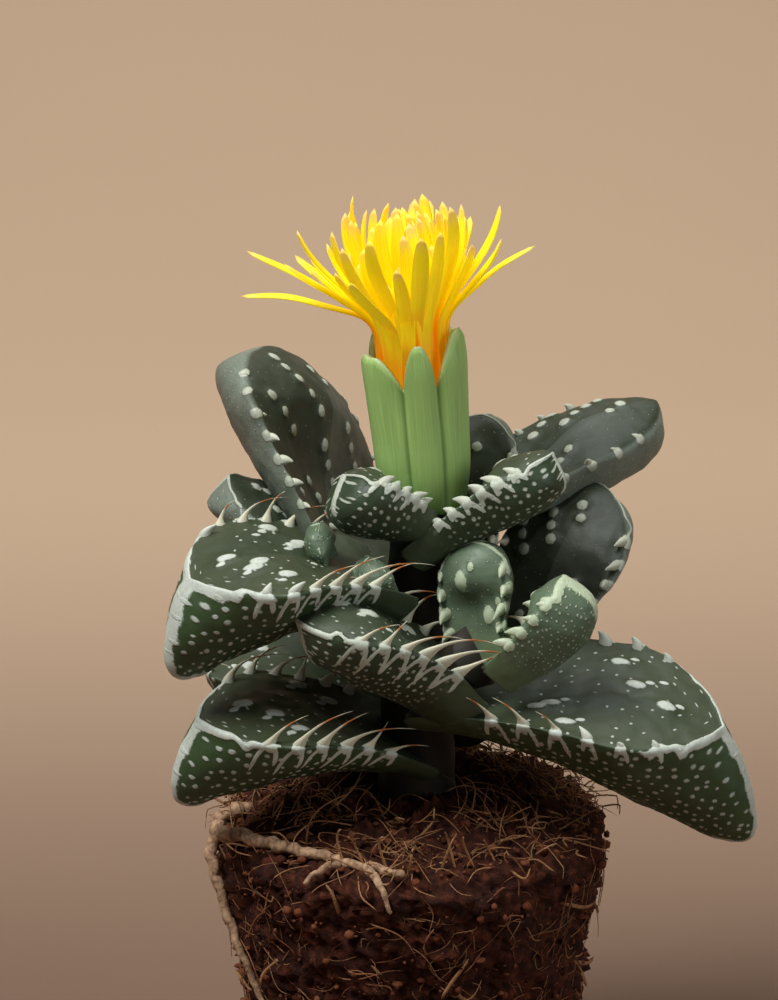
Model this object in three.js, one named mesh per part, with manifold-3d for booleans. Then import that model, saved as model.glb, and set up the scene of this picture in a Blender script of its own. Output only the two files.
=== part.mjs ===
// Tiger jaws: a small toothed-leaf succulent in flower, standing on its bare, pot-shaped root ball.
// Millimetres, +Z up. The origin is the centre of the root ball's flat underside, and -Y is the front.
import * as THREE from 'three';
import Module from 'manifold-3d';
import { mergeVertices } from 'three/addons/utils/BufferGeometryUtils.js';

const wasm = await Module();
wasm.setup();

// Driving dimensions
const GAP = 0.3;              // clear space between pieces that touch
const BALL = {
  height: 50, topRadius: 26, footRadius: 18.5, footEdge: 1.5, crown: 4.5, lump: 0.8, around: 32,
};
const STEM = { x: 0.6, y: -3, foot: -8, top: 42.5, footRadius: 6, topRadius: 3.4 };
const SIDE_STEM = { radius: 3.2, route: [[1, -4, 20], [5.5, -9, 23.5], [9, -13, 26.5]], swell: 1.3 };
const TOOTH = { footLength: 1.4, footWidth: 0.8, sunk: 0.9, from: 0.24, to: 0.86 };
const WART = { radius: 0.9, height: 0.75, sunk: 0.5 };
const FLOWER = { x: 1.9, y: -3, z: 43.3, tilt: 5 };
const CALYX = { footRadius: 5.2, rimRadius: 6.6, cup: 16.5, lobeTip: 23.5, groove: 0.55, around: 36 };
const CORE = { radius: 5, foot: 9.4, top: 12.4 };
const FIBRES = { count: 26, tuft: 8, radius: 0.42, length: 8, seed: 7 };

// Lobes of the calyx: the compass angle of the middle, half the width as an angle, and how much taller than lobeTip
const LOBES = [
  { turn: -88, half: 18.5, taller: -0.3 },
  { turn: -26, half: 43.5, taller: 0.6 },
  { turn: 54.5, half: 37, taller: 0 },
  { turn: 129, half: 37.5, taller: 0 },
  { turn: -150, half: 44, taller: -2.2 },
];

// One leaf: where its root is, seen from the soil line, the way it points, and its size.
// heading is the compass angle of its tip from +X, rise its angle above level, roll its turn about its own length,
// and curl how far its tip bends up over the whole length. neck and taper are how much shallower its keel gets
// towards the root and towards the tip.
// Later leaves give way to earlier ones.
const LEAVES = [
  { name: 'leaf_small_left', root: [-9, -8, 34], heading: 190, rise: 72, roll: -20, curl: 0,
    length: 9, halfWidth: 3.6, depth: 3.4, chin: 0.5, neck: 0, taper: 0, teeth: 0, spine: 0, warts: 0 },
  { name: 'leaf_small_front', root: [-2.3, -10, 32.3], heading: 215, rise: 62, roll: 0, curl: 0,
    length: 8, halfWidth: 3.5, depth: 4, chin: 0.5, neck: 0, taper: 0, teeth: 0, spine: 0, warts: 0 },
  { name: 'leaf_low_right', root: [0, -7, 20.5], heading: -15, rise: 12, roll: 13, curl: -34,
    length: 41.5, halfWidth: 12, depth: 16.5, chin: 12, neck: 0.45, taper: 0, teeth: 6, spine: 4, warts: 6 },
  { name: 'leaf_low_left', root: [2, -5, 11], heading: 204, rise: 35, roll: -12, curl: -44,
    length: 33, halfWidth: 10, depth: 12.5, chin: 6, neck: 0.4, taper: 0, teeth: 6, spine: 5, warts: 5 },
  { name: 'leaf_mid_left', root: [-2, -6, 35], heading: 208, rise: 31, roll: -8, curl: -49,
    length: 30, halfWidth: 11.5, depth: 13.5, chin: 9, neck: 0, taper: 0, teeth: 6, spine: 5, warts: 7 },
  { name: 'leaf_mid_front', root: [8.5, -13, 21.5], heading: 208, rise: 56, roll: -12, curl: -58,
    length: 29, halfWidth: 7.5, depth: 13.5, chin: -7, neck: 0, taper: 0.65, teeth: 6, spine: 6.5, warts: 4 },
  { name: 'leaf_back_left', root: [-4.5, 3, 30], heading: 121, rise: 46, roll: 40, curl: 0,
    length: 36.5, halfWidth: 18, depth: 9.5, chin: 2, neck: 0, taper: 0, teeth: 7, spine: 3, warts: 9 },
  { name: 'leaf_back_right', root: [-1, 5, 37.3], heading: 30, rise: 20.5, roll: 4, curl: -8,
    length: 41, halfWidth: 8, depth: 9, chin: -9, neck: 0, taper: 0, teeth: 6, spine: 3, warts: 6 },
  { name: 'leaf_mid_right', root: [9.5, 0, 18.6], heading: 35, rise: 50, roll: 20, curl: 0,
    length: 30, halfWidth: 8.8, depth: 7, chin: -2, neck: 0, taper: 0, teeth: 6, spine: 5, warts: 5 },
  { name: 'leaf_inner_right', root: [-1, -5.5, 38], heading: -5, rise: 43, roll: -14, curl: -14,
    length: 23.5, halfWidth: 5.8, depth: 7, chin: -3, neck: 0, taper: 0, teeth: 6, spine: 2, warts: 2 },
  { name: 'leaf_inner_left', root: [1.5, -6, 42.5], heading: 200, rise: 33, roll: 25, curl: 0,
    length: 13, halfWidth: 6, depth: 7.5, chin: -4, neck: 0, taper: 0, teeth: 5, spine: 2, warts: 3 },
  { name: 'leaf_young_left', root: [8, -14, 25], heading: 95, rise: 75, roll: -30, curl: 0,
    length: 16, halfWidth: 5, depth: 6, chin: 1, neck: 0, taper: 0, teeth: 4, spine: 2, warts: 2 },
  { name: 'leaf_young_right', root: [9, -16, 26.5], heading: -5, rise: 42, roll: -6, curl: 14,
    length: 15.5, halfWidth: 5, depth: 9.5, chin: -6, neck: 0, taper: 0.2, teeth: 4, spine: 3, warts: 1 },
  { name: 'leaf_inner_back', root: [5, 3, 30], heading: 60, rise: 68, roll: 10, curl: 0,
    length: 23, halfWidth: 6, depth: 5, chin: 1.5, neck: 0, taper: 0, teeth: 5, spine: 3, warts: 2 },
  { name: 'leaf_far_left', root: [-3, 1, 28], heading: 168, rise: 38, roll: 0, curl: 0,
    length: 27, halfWidth: 7, depth: 5.5, chin: 0.5, neck: 0, taper: 0, teeth: 4, spine: 4, warts: 3 },
  { name: 'leaf_low_back_right', root: [3, 3, 12], heading: 62, rise: 30, roll: 10, curl: -34,
    length: 38, halfWidth: 11, depth: 12, chin: 4, neck: 0, taper: 0, teeth: 4, spine: 4, warts: 5 },
  { name: 'leaf_low_back_left', root: [-3, 3, 10], heading: 138, rise: 28, roll: -10, curl: -34,
    length: 33, halfWidth: 11, depth: 12, chin: 4, neck: 0, taper: 0, teeth: 4, spine: 4, warts: 5 },
  { name: 'leaf_mid_back', root: [0, 3, 21], heading: 95, rise: 30, roll: 0, curl: -23,
    length: 32, halfWidth: 10, depth: 9, chin: 3, neck: 0, taper: 0, teeth: 4, spine: 4, warts: 4 },
];

// Leaf outlines as shares of its size, from root 0 to tip 1
const WIDTH_OUTLINE = [[0, 0.72], [0.3, 0.84], [0.55, 0.96], [0.72, 1], [0.86, 0.72], [0.95, 0.36], [1, 0]];
const KEEL_DEPTH = [[0, 0.55], [0.3, 0.68], [0.55, 0.82], [0.8, 0.98], [0.88, 1], [0.95, 0.72], [1, 0]];
const KEEL_REACH = [[0, 0], [0.3, 0.3], [0.55, 0.56], [0.8, 0.88], [0.88, 0.99], [0.95, 1], [1, 1]];
const CHIN_REACH = [[0.55, 0], [0.8, 0.1], [0.88, 0.62], [0.95, 1], [1, 0]];
const CAMBER = [[0, -0.16], [0.35, -0.12], [0.7, 0.03], [1, 0]];
const STATIONS = [1, 0.985, 0.955, 0.9, 0.82, 0.7, 0.54, 0.36, 0.18, 0];

// Petals in layers, from the outside in: how far each opens from upright, how much more it opens on the left than on
// the right, how far its tip hooks back, and how long it is
const PETAL_LAYERS = [
  { count: 9, open: 34, spread: 12, side: 20, hook: -10, length: 28, lengthSpread: 2.5, radius: 4.3 },
  { count: 12, open: 26, spread: 6, side: 3, hook: 18, length: 29, lengthSpread: 2, radius: 3.8 },
  { count: 10, open: 17, spread: 6, side: 1, hook: 24, length: 29.5, lengthSpread: 2.5, radius: 3.1 },
  { count: 6, open: 7, spread: 5, side: 0, hook: 20, length: 29.5, lengthSpread: 3, radius: 2.4 },
];
const PETAL = { width: 2.4, thickness: 0.65, turn: 5, steps: 40, rows: 4, seed: 32 };
const STAMENS = { count: 9, radius: 1.3, length: 6, seed: 5 };

// Surface roots: hand-laid routes, from the part's origin
const FRONT_ROOT = { radius: 1, route: [[-25.4, -9, 50.2], [-19, -14, 50.9], [-10, -20, 51], [-1, -24.6, 50.6]] };
const FRONT_BRANCHES = [
  { radius: 0.7, route: [[-6, -22.2, 50.8], [-4, -25.4, 49.4], [-2.6, -26.3, 46]] },
  { radius: 0.65, route: [[-9, -20.7, 51], [-11.5, -22, 50.4], [-14, -22.6, 48.6]] },
];
const LEFT_ROOT = {
  radius: 1.1,
  route: [[-21, -2, 50.8], [-25, -3.6, 50], [-26.3, -6, 46], [-24.8, -8.6, 40], [-22, -11, 33], [-18.6, -13, 25]],
};

const radians = THREE.MathUtils.degToRad;
const { lerp } = THREE.MathUtils;
const vector = (point) => new THREE.Vector3(...point);

// The same sequence of numbers from 0 to 1 for the same seed
function sequence(seed) {
  let state = seed;
  return () => {
    state = (state + 0x6d2b79f5) | 0;
    let t = Math.imul(state ^ (state >>> 15), 1 | state);
    t = (t + Math.imul(t ^ (t >>> 7), 61 | t)) ^ t;
    return ((t ^ (t >>> 14)) >>> 0) / 4294967296;
  };
}

// A closed mesh as a solid, with only its positions kept and shared vertices merged.
function solid(geometry) {
  const bare = geometry.clone();
  bare.deleteAttribute('normal');
  bare.deleteAttribute('uv');
  const merged = mergeVertices(bare, 1e-4);
  const made = new wasm.Manifold(new wasm.Mesh({
    numProp: 3,
    vertProperties: new Float32Array(merged.attributes.position.array),
    triVerts: new Uint32Array(merged.index.array),
  }));
  return made;
}

function geometryOf(manifold) {
  const mesh = mainBody(manifold.simplify(GAP / 6)).getMesh();
  const geometry = new THREE.BufferGeometry();
  geometry.setAttribute('position', new THREE.BufferAttribute(new Float32Array(mesh.vertProperties), 3));
  geometry.setIndex(new THREE.BufferAttribute(new Uint32Array(mesh.triVerts), 1));
  return geometry;
}

const joined = (solids) => wasm.Manifold.union(solids);

// The largest body of a solid, for a cut that leaves scraps or a union that seals a small hollow.
function mainBody(manifold) {
  return manifold.decompose().reduce((best, body) => (body.volume() > best.volume() ? body : best));
}

function boxesMeet(a, b) {
  const one = a.boundingBox();
  const two = b.boundingBox();
  return [0, 1, 2].every((axis) => one.min[axis] <= two.max[axis] && two.min[axis] <= one.max[axis]);
}

const meets = (a, b) => boxesMeet(a, b) && !a.intersect(b).isEmpty();

// The value at x of a smooth curve through the points [x, value], flat past its ends.
function through(points, x) {
  const last = points.length - 1;
  if (x <= points[0][0]) return points[0][1];
  if (x >= points[last][0]) return points[last][1];
  const i = points.findIndex((p, n) => n > 0 && x <= p[0]) - 1;
  const slope = (a, b) => (points[b][1] - points[a][1]) / (points[b][0] - points[a][0]);
  const here = slope(i, i + 1);
  const into = i > 0 ? (slope(i - 1, i) + here) / 2 : here;
  const out = i + 2 <= last ? (here + slope(i + 1, i + 2)) / 2 : here;
  const span = points[i + 1][0] - points[i][0];
  const t = (x - points[i][0]) / span;
  const t2 = t * t;
  const t3 = t2 * t;
  return (2 * t3 - 3 * t2 + 1) * points[i][1] + (t3 - 2 * t2 + t) * span * into
    + (3 * t2 - 2 * t3) * points[i + 1][1] + (t3 - t2) * span * out;
}

// A unit-high box or cylinder, drawn out along a curve: its y runs from 0 to 1 along it, its x is scaled by
// width(t) along the across direction, and its z by height(t) square to both.
function swept(geometry, curve, width, height, across) {
  const position = geometry.attributes.position;
  const step = 0.01;
  for (let i = 0; i < position.count; i += 1) {
    const t = position.getY(i) + 0.5;
    const centre = curve(t);
    const along = curve(Math.min(t + step, 1)).sub(curve(Math.max(t - step, 0))).normalize();
    const wide = across.clone().addScaledVector(along, -across.dot(along)).normalize();
    const deep = wide.clone().cross(along);
    centre.addScaledVector(wide, position.getX(i) * width(t));
    centre.addScaledVector(deep, position.getZ(i) * height(t));
    position.setXYZ(i, centre.x, centre.y, centre.z);
  }
  return geometry;
}

function tube(route, radius, taper, sides, rows, grow = 0) {
  const line = new THREE.CatmullRomCurve3(route.map(vector));
  const size = (t) => lerp(radius, radius * taper, t) + grow;
  const across = new THREE.Vector3(0.3, 0.9, 0.31);
  const blank = new THREE.CylinderGeometry(1, 1, 1, sides, rows);
  return solid(swept(blank, (t) => line.getPoint(t), size, size, across));
}

// The point of the straight leaf at s along its length and at u round it: 0 is the middle of the upper face,
// 0.25 the left margin, 0.5 the keel and 0.75 the right margin.
function leafPoint(leaf, s, u, grow = 0) {
  const side = u <= 0.5 ? 1 : -1;
  const turn = (u <= 0.5 ? u : 1 - u) * 4;
  const half = leaf.halfWidth * through(WIDTH_OUTLINE, s) + grow;
  const x = leaf.length * s + grow * (2 * s - 1);
  if (turn <= 1) {
    const camber = leaf.halfWidth * through(CAMBER, s) * (1 - turn * turn);
    return new THREE.Vector3(x, side * half * turn, camber + grow);
  }
  const angle = (turn - 1) * Math.PI / 2;
  const bluntness = lerp(1.05, 1.5, s);
  const down = Math.sin(angle) ** bluntness;
  const keelX = leaf.length * through(KEEL_REACH, s) + (leaf.chin + grow) * through(CHIN_REACH, s);
  const slimming = (1 - leaf.taper * s * s) * (1 - leaf.neck * (1 - s) ** 2);
  const keelZ = -leaf.depth * through(KEEL_DEPTH, s) * slimming - grow;
  return new THREE.Vector3(
    lerp(x, keelX, down),
    side * half * Math.max(Math.cos(angle), 0) ** bluntness,
    lerp(grow, keelZ, down),
  );
}

// Bends the straight leaf up by its curl, then turns it the way it points and carries it to its root.
function placeLeaf(leaf, point) {
  const bend = radians(leaf.curl);
  const bent = point.clone();
  if (Math.abs(bend) > 1e-6) {
    const radius = leaf.length / bend;
    const angle = point.x / radius;
    bent.x = (radius - point.z) * Math.sin(angle);
    bent.z = radius - (radius - point.z) * Math.cos(angle);
  }
  const turn = new THREE.Euler(radians(leaf.roll), -radians(leaf.rise), radians(leaf.heading), 'ZYX');
  return bent.applyEuler(turn).add(vector(leaf.root));
}

function placed(leaf, geometry) {
  const position = geometry.attributes.position;
  for (let i = 0; i < position.count; i += 1) {
    const point = placeLeaf(leaf, new THREE.Vector3().fromBufferAttribute(position, i));
    position.setXYZ(i, point.x, point.y, point.z);
  }
  return solid(geometry);
}

// The leaf's body: a sphere's rows and columns, laid over the leaf from tip to root.
function leafBody(leaf, grow = 0) {
  const rows = STATIONS.length;
  const around = leaf.length > 20 ? 12 : 10;
  const geometry = new THREE.SphereGeometry(1, around, rows);
  const position = geometry.attributes.position;
  const uv = geometry.attributes.uv;
  for (let i = 0; i < position.count; i += 1) {
    const row = Math.round((1 - uv.getY(i)) * rows);
    const column = (Math.round((1 - uv.getX(i)) * around) % around) / around;
    let point = leafPoint(leaf, STATIONS[Math.min(row, rows - 1)], column, grow);
    if (row === 0) point = new THREE.Vector3(leaf.length + grow, 0, 0);
    if (row === rows) point = new THREE.Vector3(-grow, 0, -0.25 * leaf.depth);
    position.setXYZ(i, point.x, point.y, point.z);
  }
  return placed(leaf, geometry);
}

// A tooth stands on the margin, broad along it, leans out and then back to the root, and ends in a blunt tip.
function tooth(leaf, s, side, spine, grow = 0) {
  const margin = leafPoint(leaf, s, side > 0 ? 0.25 : 0.75);
  const foot = new THREE.Vector3(margin.x, margin.y - side * TOOTH.sunk, margin.z - TOOTH.sunk);
  const curve = (t) => new THREE.Vector3(
    foot.x - spine * (0.15 * t + 0.5 * t * t),
    foot.y + side * spine * (0.45 * t - 0.3 * t * t),
    foot.z + (spine + TOOTH.sunk) * (t - 0.25 * t * t),
  );
  const width = () => TOOTH.footLength + grow;
  const height = () => TOOTH.footWidth + grow;
  const blank = new THREE.ConeGeometry(1, 1, 3, 2);
  return placed(leaf, swept(blank, curve, width, height, new THREE.Vector3(1, 0, 0)));
}

// A wart: a low blunt cone on the upper face
function wart(leaf, s, across) {
  const at = leafPoint(leaf, s, across >= 0 ? across / 4 : 1 + across / 4);
  const blank = new THREE.ConeGeometry(WART.radius, WART.height + WART.sunk, 5, 1);
  blank.rotateX(Math.PI / 2);
  blank.translate(at.x, at.y, at.z + (WART.height - WART.sunk) / 2);
  return placed(leaf, blank);
}

// The teeth of both margins, each shortened or left off where it would touch an obstacle
function teethOf(leaf, obstacles) {
  const found = [];
  for (let n = 0; n < leaf.teeth; n += 1) {
    for (const side of [1, -1]) {
      const share = (n + (side > 0 ? 0.25 : 0.6)) / leaf.teeth;
      const s = lerp(TOOTH.from, TOOTH.to, share);
      const spine = leaf.spine * (0.75 + 0.35 * Math.sin(Math.PI * share));
      const fits = [1, 0.8, 0.6].find((part) => {
        const tried = tooth(leaf, s, side, spine * part, GAP);
        return obstacles.every((obstacle) => !meets(tried, obstacle));
      });
      if (fits) found.push({ s, side, spine: spine * fits });
    }
  }
  return found;
}

function wartsOf(leaf, obstacles) {
  const spots = [];
  for (let n = 0; n < leaf.warts; n += 1) {
    const s = 0.42 + 0.46 * ((n * 0.618) % 1);
    const across = 0.75 * (2 * ((n * 0.414 + 0.2) % 1) - 1);
    spots.push(wart(leaf, s, across));
  }
  return spots.filter((spot) => obstacles.every((obstacle) => !meets(spot, obstacle)));
}

function cylinder(radiusTop, radiusFoot, foot, top, x, y, sides = 20) {
  const geometry = new THREE.CylinderGeometry(radiusTop, radiusFoot, top - foot, sides);
  geometry.rotateX(Math.PI / 2);
  geometry.translate(x, y, (top + foot) / 2);
  return solid(geometry);
}

// The stem from its foot in the soil up to the flower, with the side shoot that branches off it; grown by the
// gap, it is the room that the leaves leave for it and the plain hole that it stands in.
function stem(grow = 0) {
  const { topRadius, footRadius, foot, top, x, y } = STEM;
  const main = cylinder(topRadius + grow, footRadius + grow, foot - grow, top, x, y);
  const side = tube(SIDE_STEM.route, SIDE_STEM.radius, SIDE_STEM.swell, 12, 4, grow);
  return main.add(side);
}

// The flower's own frame: upright at its foot, tilted to the left
function inFlower(manifold) {
  return manifold.rotate([0, -FLOWER.tilt, 0]).translate([FLOWER.x, FLOWER.y, FLOWER.z]);
}

// One lobe of the calyx: a thick tongue wrapped round the cup, with a rounded back, leaning out a little to its tip
function calyxLobe({ turn, half, taller }) {
  const reach = radians(half) * CALYX.rimRadius;
  const curve = (t) => new THREE.Vector3(
    lerp(CALYX.rimRadius - 1.3, CALYX.rimRadius - 0.4, t) + 0.9 * Math.sin(Math.PI * t) * 0.6,
    0,
    lerp(CALYX.cup - 5, CALYX.lobeTip + taller, t),
  );
  const width = (t) => reach * through([[0, 0.75], [0.35, 1], [0.7, 0.72], [0.92, 0.3], [1, 0.1]], t);
  const height = (t) => 1.25 * through([[0, 1], [0.6, 0.95], [0.9, 0.6], [1, 0.25]], t);
  const blank = new THREE.CylinderGeometry(1, 1, 1, 10, 4);
  const lobe = swept(blank, curve, width, height, new THREE.Vector3(0, 1, 0));
  const position = lobe.attributes.position;
  for (let i = 0; i < position.count; i += 1) {
    const angle = position.getY(i) / CALYX.rimRadius;
    position.setXYZ(i, position.getX(i) * Math.cos(angle), position.getX(i) * Math.sin(angle), position.getZ(i));
  }
  lobe.rotateZ(radians(turn));
  return solid(lobe);
}

// How deep the groove between two lobes is at an angle round the cup: 1 between them and 0 on a lobe's back
function calyxGroove(angle) {
  const shares = LOBES.map(({ turn, half }) => {
    const away = THREE.MathUtils.euclideanModulo(THREE.MathUtils.radToDeg(angle) - turn + 180, 360) - 180;
    return Math.min(1, Math.abs(away) / half);
  });
  return Math.min(...shares) ** 3;
}

function calyx() {
  const profile = [
    [0, 0], [CALYX.footRadius - 0.8, 0], [CALYX.footRadius, 0.8], [CALYX.footRadius + 0.9, 5],
    [CALYX.rimRadius - 0.2, 10], [CALYX.rimRadius, CALYX.cup], [0, CALYX.cup],
  ].map(([r, z]) => new THREE.Vector2(r, z));
  const cup = new THREE.LatheGeometry(profile, CALYX.around);
  cup.rotateX(Math.PI / 2);
  const position = cup.attributes.position;
  for (let i = 0; i < position.count; i += 1) {
    const [x, y, z] = new THREE.Vector3().fromBufferAttribute(position, i).toArray();
    const radius = Math.hypot(x, y);
    const cut = calyxGroove(Math.atan2(y, x)) * CALYX.groove * Math.min(1, z / 6) * Math.min(1, radius / 4);
    const share = radius > 0 ? 1 - cut / radius : 1;
    position.setXYZ(i, x * share, y * share, z);
  }
  const lobes = LOBES.map(calyxLobe);
  const bore = cylinder(CORE.radius + GAP, CORE.radius + GAP, CORE.foot - GAP, CALYX.lobeTip + 5, 0, 0, 16);
  return joined([solid(cup), ...lobes]).subtract(bore);
}

// The line of a petal in its own upright plane: it climbs straight out of the cup, opens over a few millimetres,
// and near its end its tip hooks back.
function petalLine(open, hook, length) {
  const climb = CALYX.lobeTip - CORE.foot - 1.4;
  const { smoothstep } = THREE.MathUtils;
  const stride = length / PETAL.steps;
  const line = [new THREE.Vector2(0, 0)];
  for (let n = 0; n < PETAL.steps; n += 1) {
    const run = stride * (n + 0.5);
    const opened = open * smoothstep(run, climb - 1, climb + PETAL.turn);
    const angle = radians(opened - hook * smoothstep(run, 0.7 * length, length));
    line.push(new THREE.Vector2(Math.sin(angle), Math.cos(angle)).multiplyScalar(stride).add(line[n]));
  }
  return (t) => {
    const at = t * PETAL.steps;
    const n = Math.min(Math.floor(at), PETAL.steps - 1);
    return line[n].clone().lerp(line[n + 1], at - n);
  };
}

// One petal: a narrow strap that follows its line and tapers at both ends
function petal(azimuth, layer, open, length) {
  const direction = new THREE.Vector3(Math.cos(azimuth), Math.sin(azimuth), 0);
  const line = petalLine(open, layer.hook, length);
  const curve = (t) => {
    const at = line(t);
    return direction.clone().multiplyScalar(layer.radius + 0.25 * t + at.x).setZ(CORE.foot + 1.2 + at.y);
  };
  const width = (t) => PETAL.width * through([[0, 0.4], [0.35, 0.5], [0.65, 1], [0.9, 0.85], [1, 0.4]], t);
  const across = new THREE.Vector3(-direction.y, direction.x, 0);
  const blank = new THREE.BoxGeometry(1, 1, 1, 1, PETAL.rows, 1);
  return solid(swept(blank, curve, width, () => PETAL.thickness, across));
}

function petals() {
  const random = sequence(PETAL.seed);
  const core = cylinder(CORE.radius, CORE.radius, CORE.foot, CORE.top, 0, 0, 16);
  const straps = PETAL_LAYERS.flatMap((layer, n) => Array.from({ length: layer.count }, (_, k) => {
    const azimuth = 2 * Math.PI * (k + 0.5 * (n % 2) + 0.3 * (random() - 0.5)) / layer.count;
    const open = layer.open + layer.spread * (2 * random() - 1) - layer.side * Math.cos(azimuth);
    return petal(azimuth, layer, open, layer.length + layer.lengthSpread * (2 * random() - 1));
  }));
  return mainBody(joined([core, ...straps]));
}

function stamens() {
  const random = sequence(STAMENS.seed);
  const pad = cylinder(STAMENS.radius, STAMENS.radius, CORE.top + GAP, CORE.top + 1.5, 0, 0, 10);
  const threads = Array.from({ length: STAMENS.count }, (_, k) => {
    const angle = k * 2.4;
    const from = 0.9 * Math.sqrt(k / STAMENS.count);
    const lean = 0.3 * from;
    const top = STAMENS.length * (0.8 + 0.3 * random());
    const route = [
      [from * Math.cos(angle), from * Math.sin(angle), CORE.top + 1],
      [(from + lean) * Math.cos(angle), (from + lean) * Math.sin(angle), CORE.top + 1.5 + top],
    ];
    return tube(route, 0.3, 1.3, 4, 1);
  });
  return joined([pad, ...threads]);
}

// Lumps of the root ball's surface, fading out towards its flat foot
function lumps(x, y, z) {
  const wave = Math.sin(0.55 * x + 1.3) * Math.sin(0.6 * y + 0.4) + Math.sin(0.35 * z + 0.5 * x)
    + 0.6 * Math.sin(0.9 * z + 0.7 * y + 2);
  return BALL.lump * 0.5 * wave * Math.min(1, Math.max(0, (z - BALL.footEdge) / 5));
}

function ballBody() {
  const side = (share) => lerp(BALL.footRadius, BALL.topRadius, share);
  const sideRows = 8;
  const profile = [[0, 0], [BALL.footRadius - BALL.footEdge, 0]];
  for (let n = 0; n <= sideRows; n += 1) {
    const share = n / sideRows;
    profile.push([side(share), lerp(BALL.footEdge, BALL.height - 2.5, share)]);
  }
  profile.push([BALL.topRadius - 1.4, BALL.height - 0.5], [BALL.topRadius * 0.7, BALL.height + BALL.crown * 0.5]);
  profile.push([BALL.topRadius * 0.35, BALL.height + BALL.crown], [0, BALL.height + BALL.crown]);
  const geometry = new THREE.LatheGeometry(profile.map(([r, z]) => new THREE.Vector2(r, z)), BALL.around);
  geometry.rotateX(Math.PI / 2);
  const position = geometry.attributes.position;
  for (let i = 0; i < position.count; i += 1) {
    const point = new THREE.Vector3().fromBufferAttribute(position, i);
    const lump = lumps(point.x, point.y, point.z);
    const flat = Math.hypot(point.x, point.y);
    const outwards = point.z < BALL.height - 1.5 ? 1 + lump / Math.max(flat, 1) : 1;
    const upwards = point.z < BALL.height - 1.5 ? 0 : 0.5 * lump;
    position.setXYZ(i, point.x * outwards, point.y * outwards, point.z + upwards);
  }
  return solid(geometry);
}

// A coir fibre: rooted under the surface, it stands out, bends over and ends loose
function fibre(angle, height, length, lift, drift) {
  const onTop = height > BALL.height - 1;
  const radius = onTop ? BALL.topRadius * 0.86 : lerp(BALL.footRadius, BALL.topRadius, height / BALL.height);
  const out = new THREE.Vector3(Math.cos(angle), Math.sin(angle), 0);
  const normal = onTop ? new THREE.Vector3(0, 0, 1) : out;
  const along = new THREE.Vector3(-out.y * Math.cos(drift), out.x * Math.cos(drift), 0);
  along.addScaledVector(onTop ? out : new THREE.Vector3(0, 0, 1), Math.sin(drift));
  const foot = out.clone().multiplyScalar(radius).setZ(height).addScaledVector(normal, -2.2);
  const curve = (t) => foot.clone()
    .addScaledVector(normal, (2.2 + lift) * (1.9 * t - 0.9 * t * t))
    .addScaledVector(along, length * t * t);
  const size = (t) => lerp(FIBRES.radius * 1.3, FIBRES.radius * 0.7, t);
  const blank = new THREE.CylinderGeometry(1, 1, 1, 3, 2);
  return solid(swept(blank, curve, size, size, new THREE.Vector3(0.3, 0.5, 0.8)));
}

function fibres(obstacles) {
  const random = sequence(FIBRES.seed);
  const all = [];
  for (let n = 0; n < FIBRES.count; n += 1) {
    const height = lerp(10, BALL.height - 3, random());
    const drift = 2 * Math.PI * random();
    all.push(fibre(2 * Math.PI * n / FIBRES.count, height, FIBRES.length * (0.6 + 0.6 * random()), 1.2, drift));
  }
  for (let n = 0; n < FIBRES.tuft; n += 1) {
    const angle = radians(-115 + 60 * (n + 0.5 * random()) / FIBRES.tuft);
    all.push(fibre(angle, BALL.height, 3 * random(), 5 + 3 * random(), Math.PI * random()));
  }
  return all.filter((one) => obstacles.every((obstacle) => !meets(one, obstacle)));
}

const surfaceRoot = (root, grow = 0) => tube(root.route, root.radius, 0.7, 6, 10, grow);

const material = (color, roughness) => new THREE.MeshStandardMaterial({ color, roughness, metalness: 0 });
const LEAF_GREEN = material(0x4d5c3e, 0.5);
const YOUNG_GREEN = material(0x7f8c55, 0.5);
const CALYX_GREEN = material(0x8fa05a, 0.45);
const PETAL_YELLOW = material(0xf0d24a, 0.6);
const STAMEN_YELLOW = material(0xd9a52b, 0.7);
const COIR = material(0x4a2a1c, 0.95);
const PALE_ROOT = material(0xb59a74, 0.85);

function piece(name, manifold, look) {
  const mesh = new THREE.Mesh(geometryOf(manifold), look);
  mesh.name = name;
  return mesh;
}

function group(name, ...children) {
  const made = new THREE.Group();
  made.name = name;
  if (children.length) made.add(...children);
  return made;
}

// Flower
const calyxSolid = inFlower(calyx());
const petalSolid = inFlower(petals());
const stamenSolid = inFlower(stamens());
const flowerRoom = inFlower(joined([
  cylinder(CALYX.rimRadius + 1 + GAP, CALYX.footRadius + GAP, -GAP, CALYX.cup, 0, 0),
  cylinder(CALYX.rimRadius + 1.6 + GAP, CALYX.rimRadius + 1 + GAP, CALYX.cup, CALYX.lobeTip + 1, 0, 0),
]));

// Leaves, each cut clear of the stems, the flower, the soil and the leaves before it
const soil = joined([
  cylinder(BALL.topRadius + 2, BALL.topRadius, -BALL.height, 0.7 + GAP, 0, 0, 32),
  cylinder(BALL.topRadius * 0.42, BALL.topRadius * 0.98, 0.4, BALL.crown + 0.5 + GAP, 0, 0, 32),
]);
const stemRoom = stem(GAP);
const rooms = LEAVES.map((leaf) => leafBody(leaf, GAP));
const taken = [];
const leafPieces = LEAVES.map((leaf, n) => {
  const others = rooms.filter((_, k) => k !== n);
  const body = mainBody(leafBody(leaf).subtract(joined([soil, flowerRoom, stemRoom, ...rooms.slice(0, n)])));
  const obstacles = [...others, ...taken, petalSolid, flowerRoom];
  const teeth = teethOf(leaf, obstacles);
  const warts = wartsOf(leaf, obstacles);
  taken.push(...teeth.map(({ s, side, spine }) => tooth(leaf, s, side, spine, GAP)));
  const grown = teeth.map(({ s, side, spine }) => tooth(leaf, s, side, spine));
  const whole = mainBody(joined([body, ...grown, ...warts]).subtract(joined([stemRoom, flowerRoom])));
  const young = leaf.length < 17;
  return { name: leaf.name, solid: whole, look: young ? YOUNG_GREEN : LEAF_GREEN };
});

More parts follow.
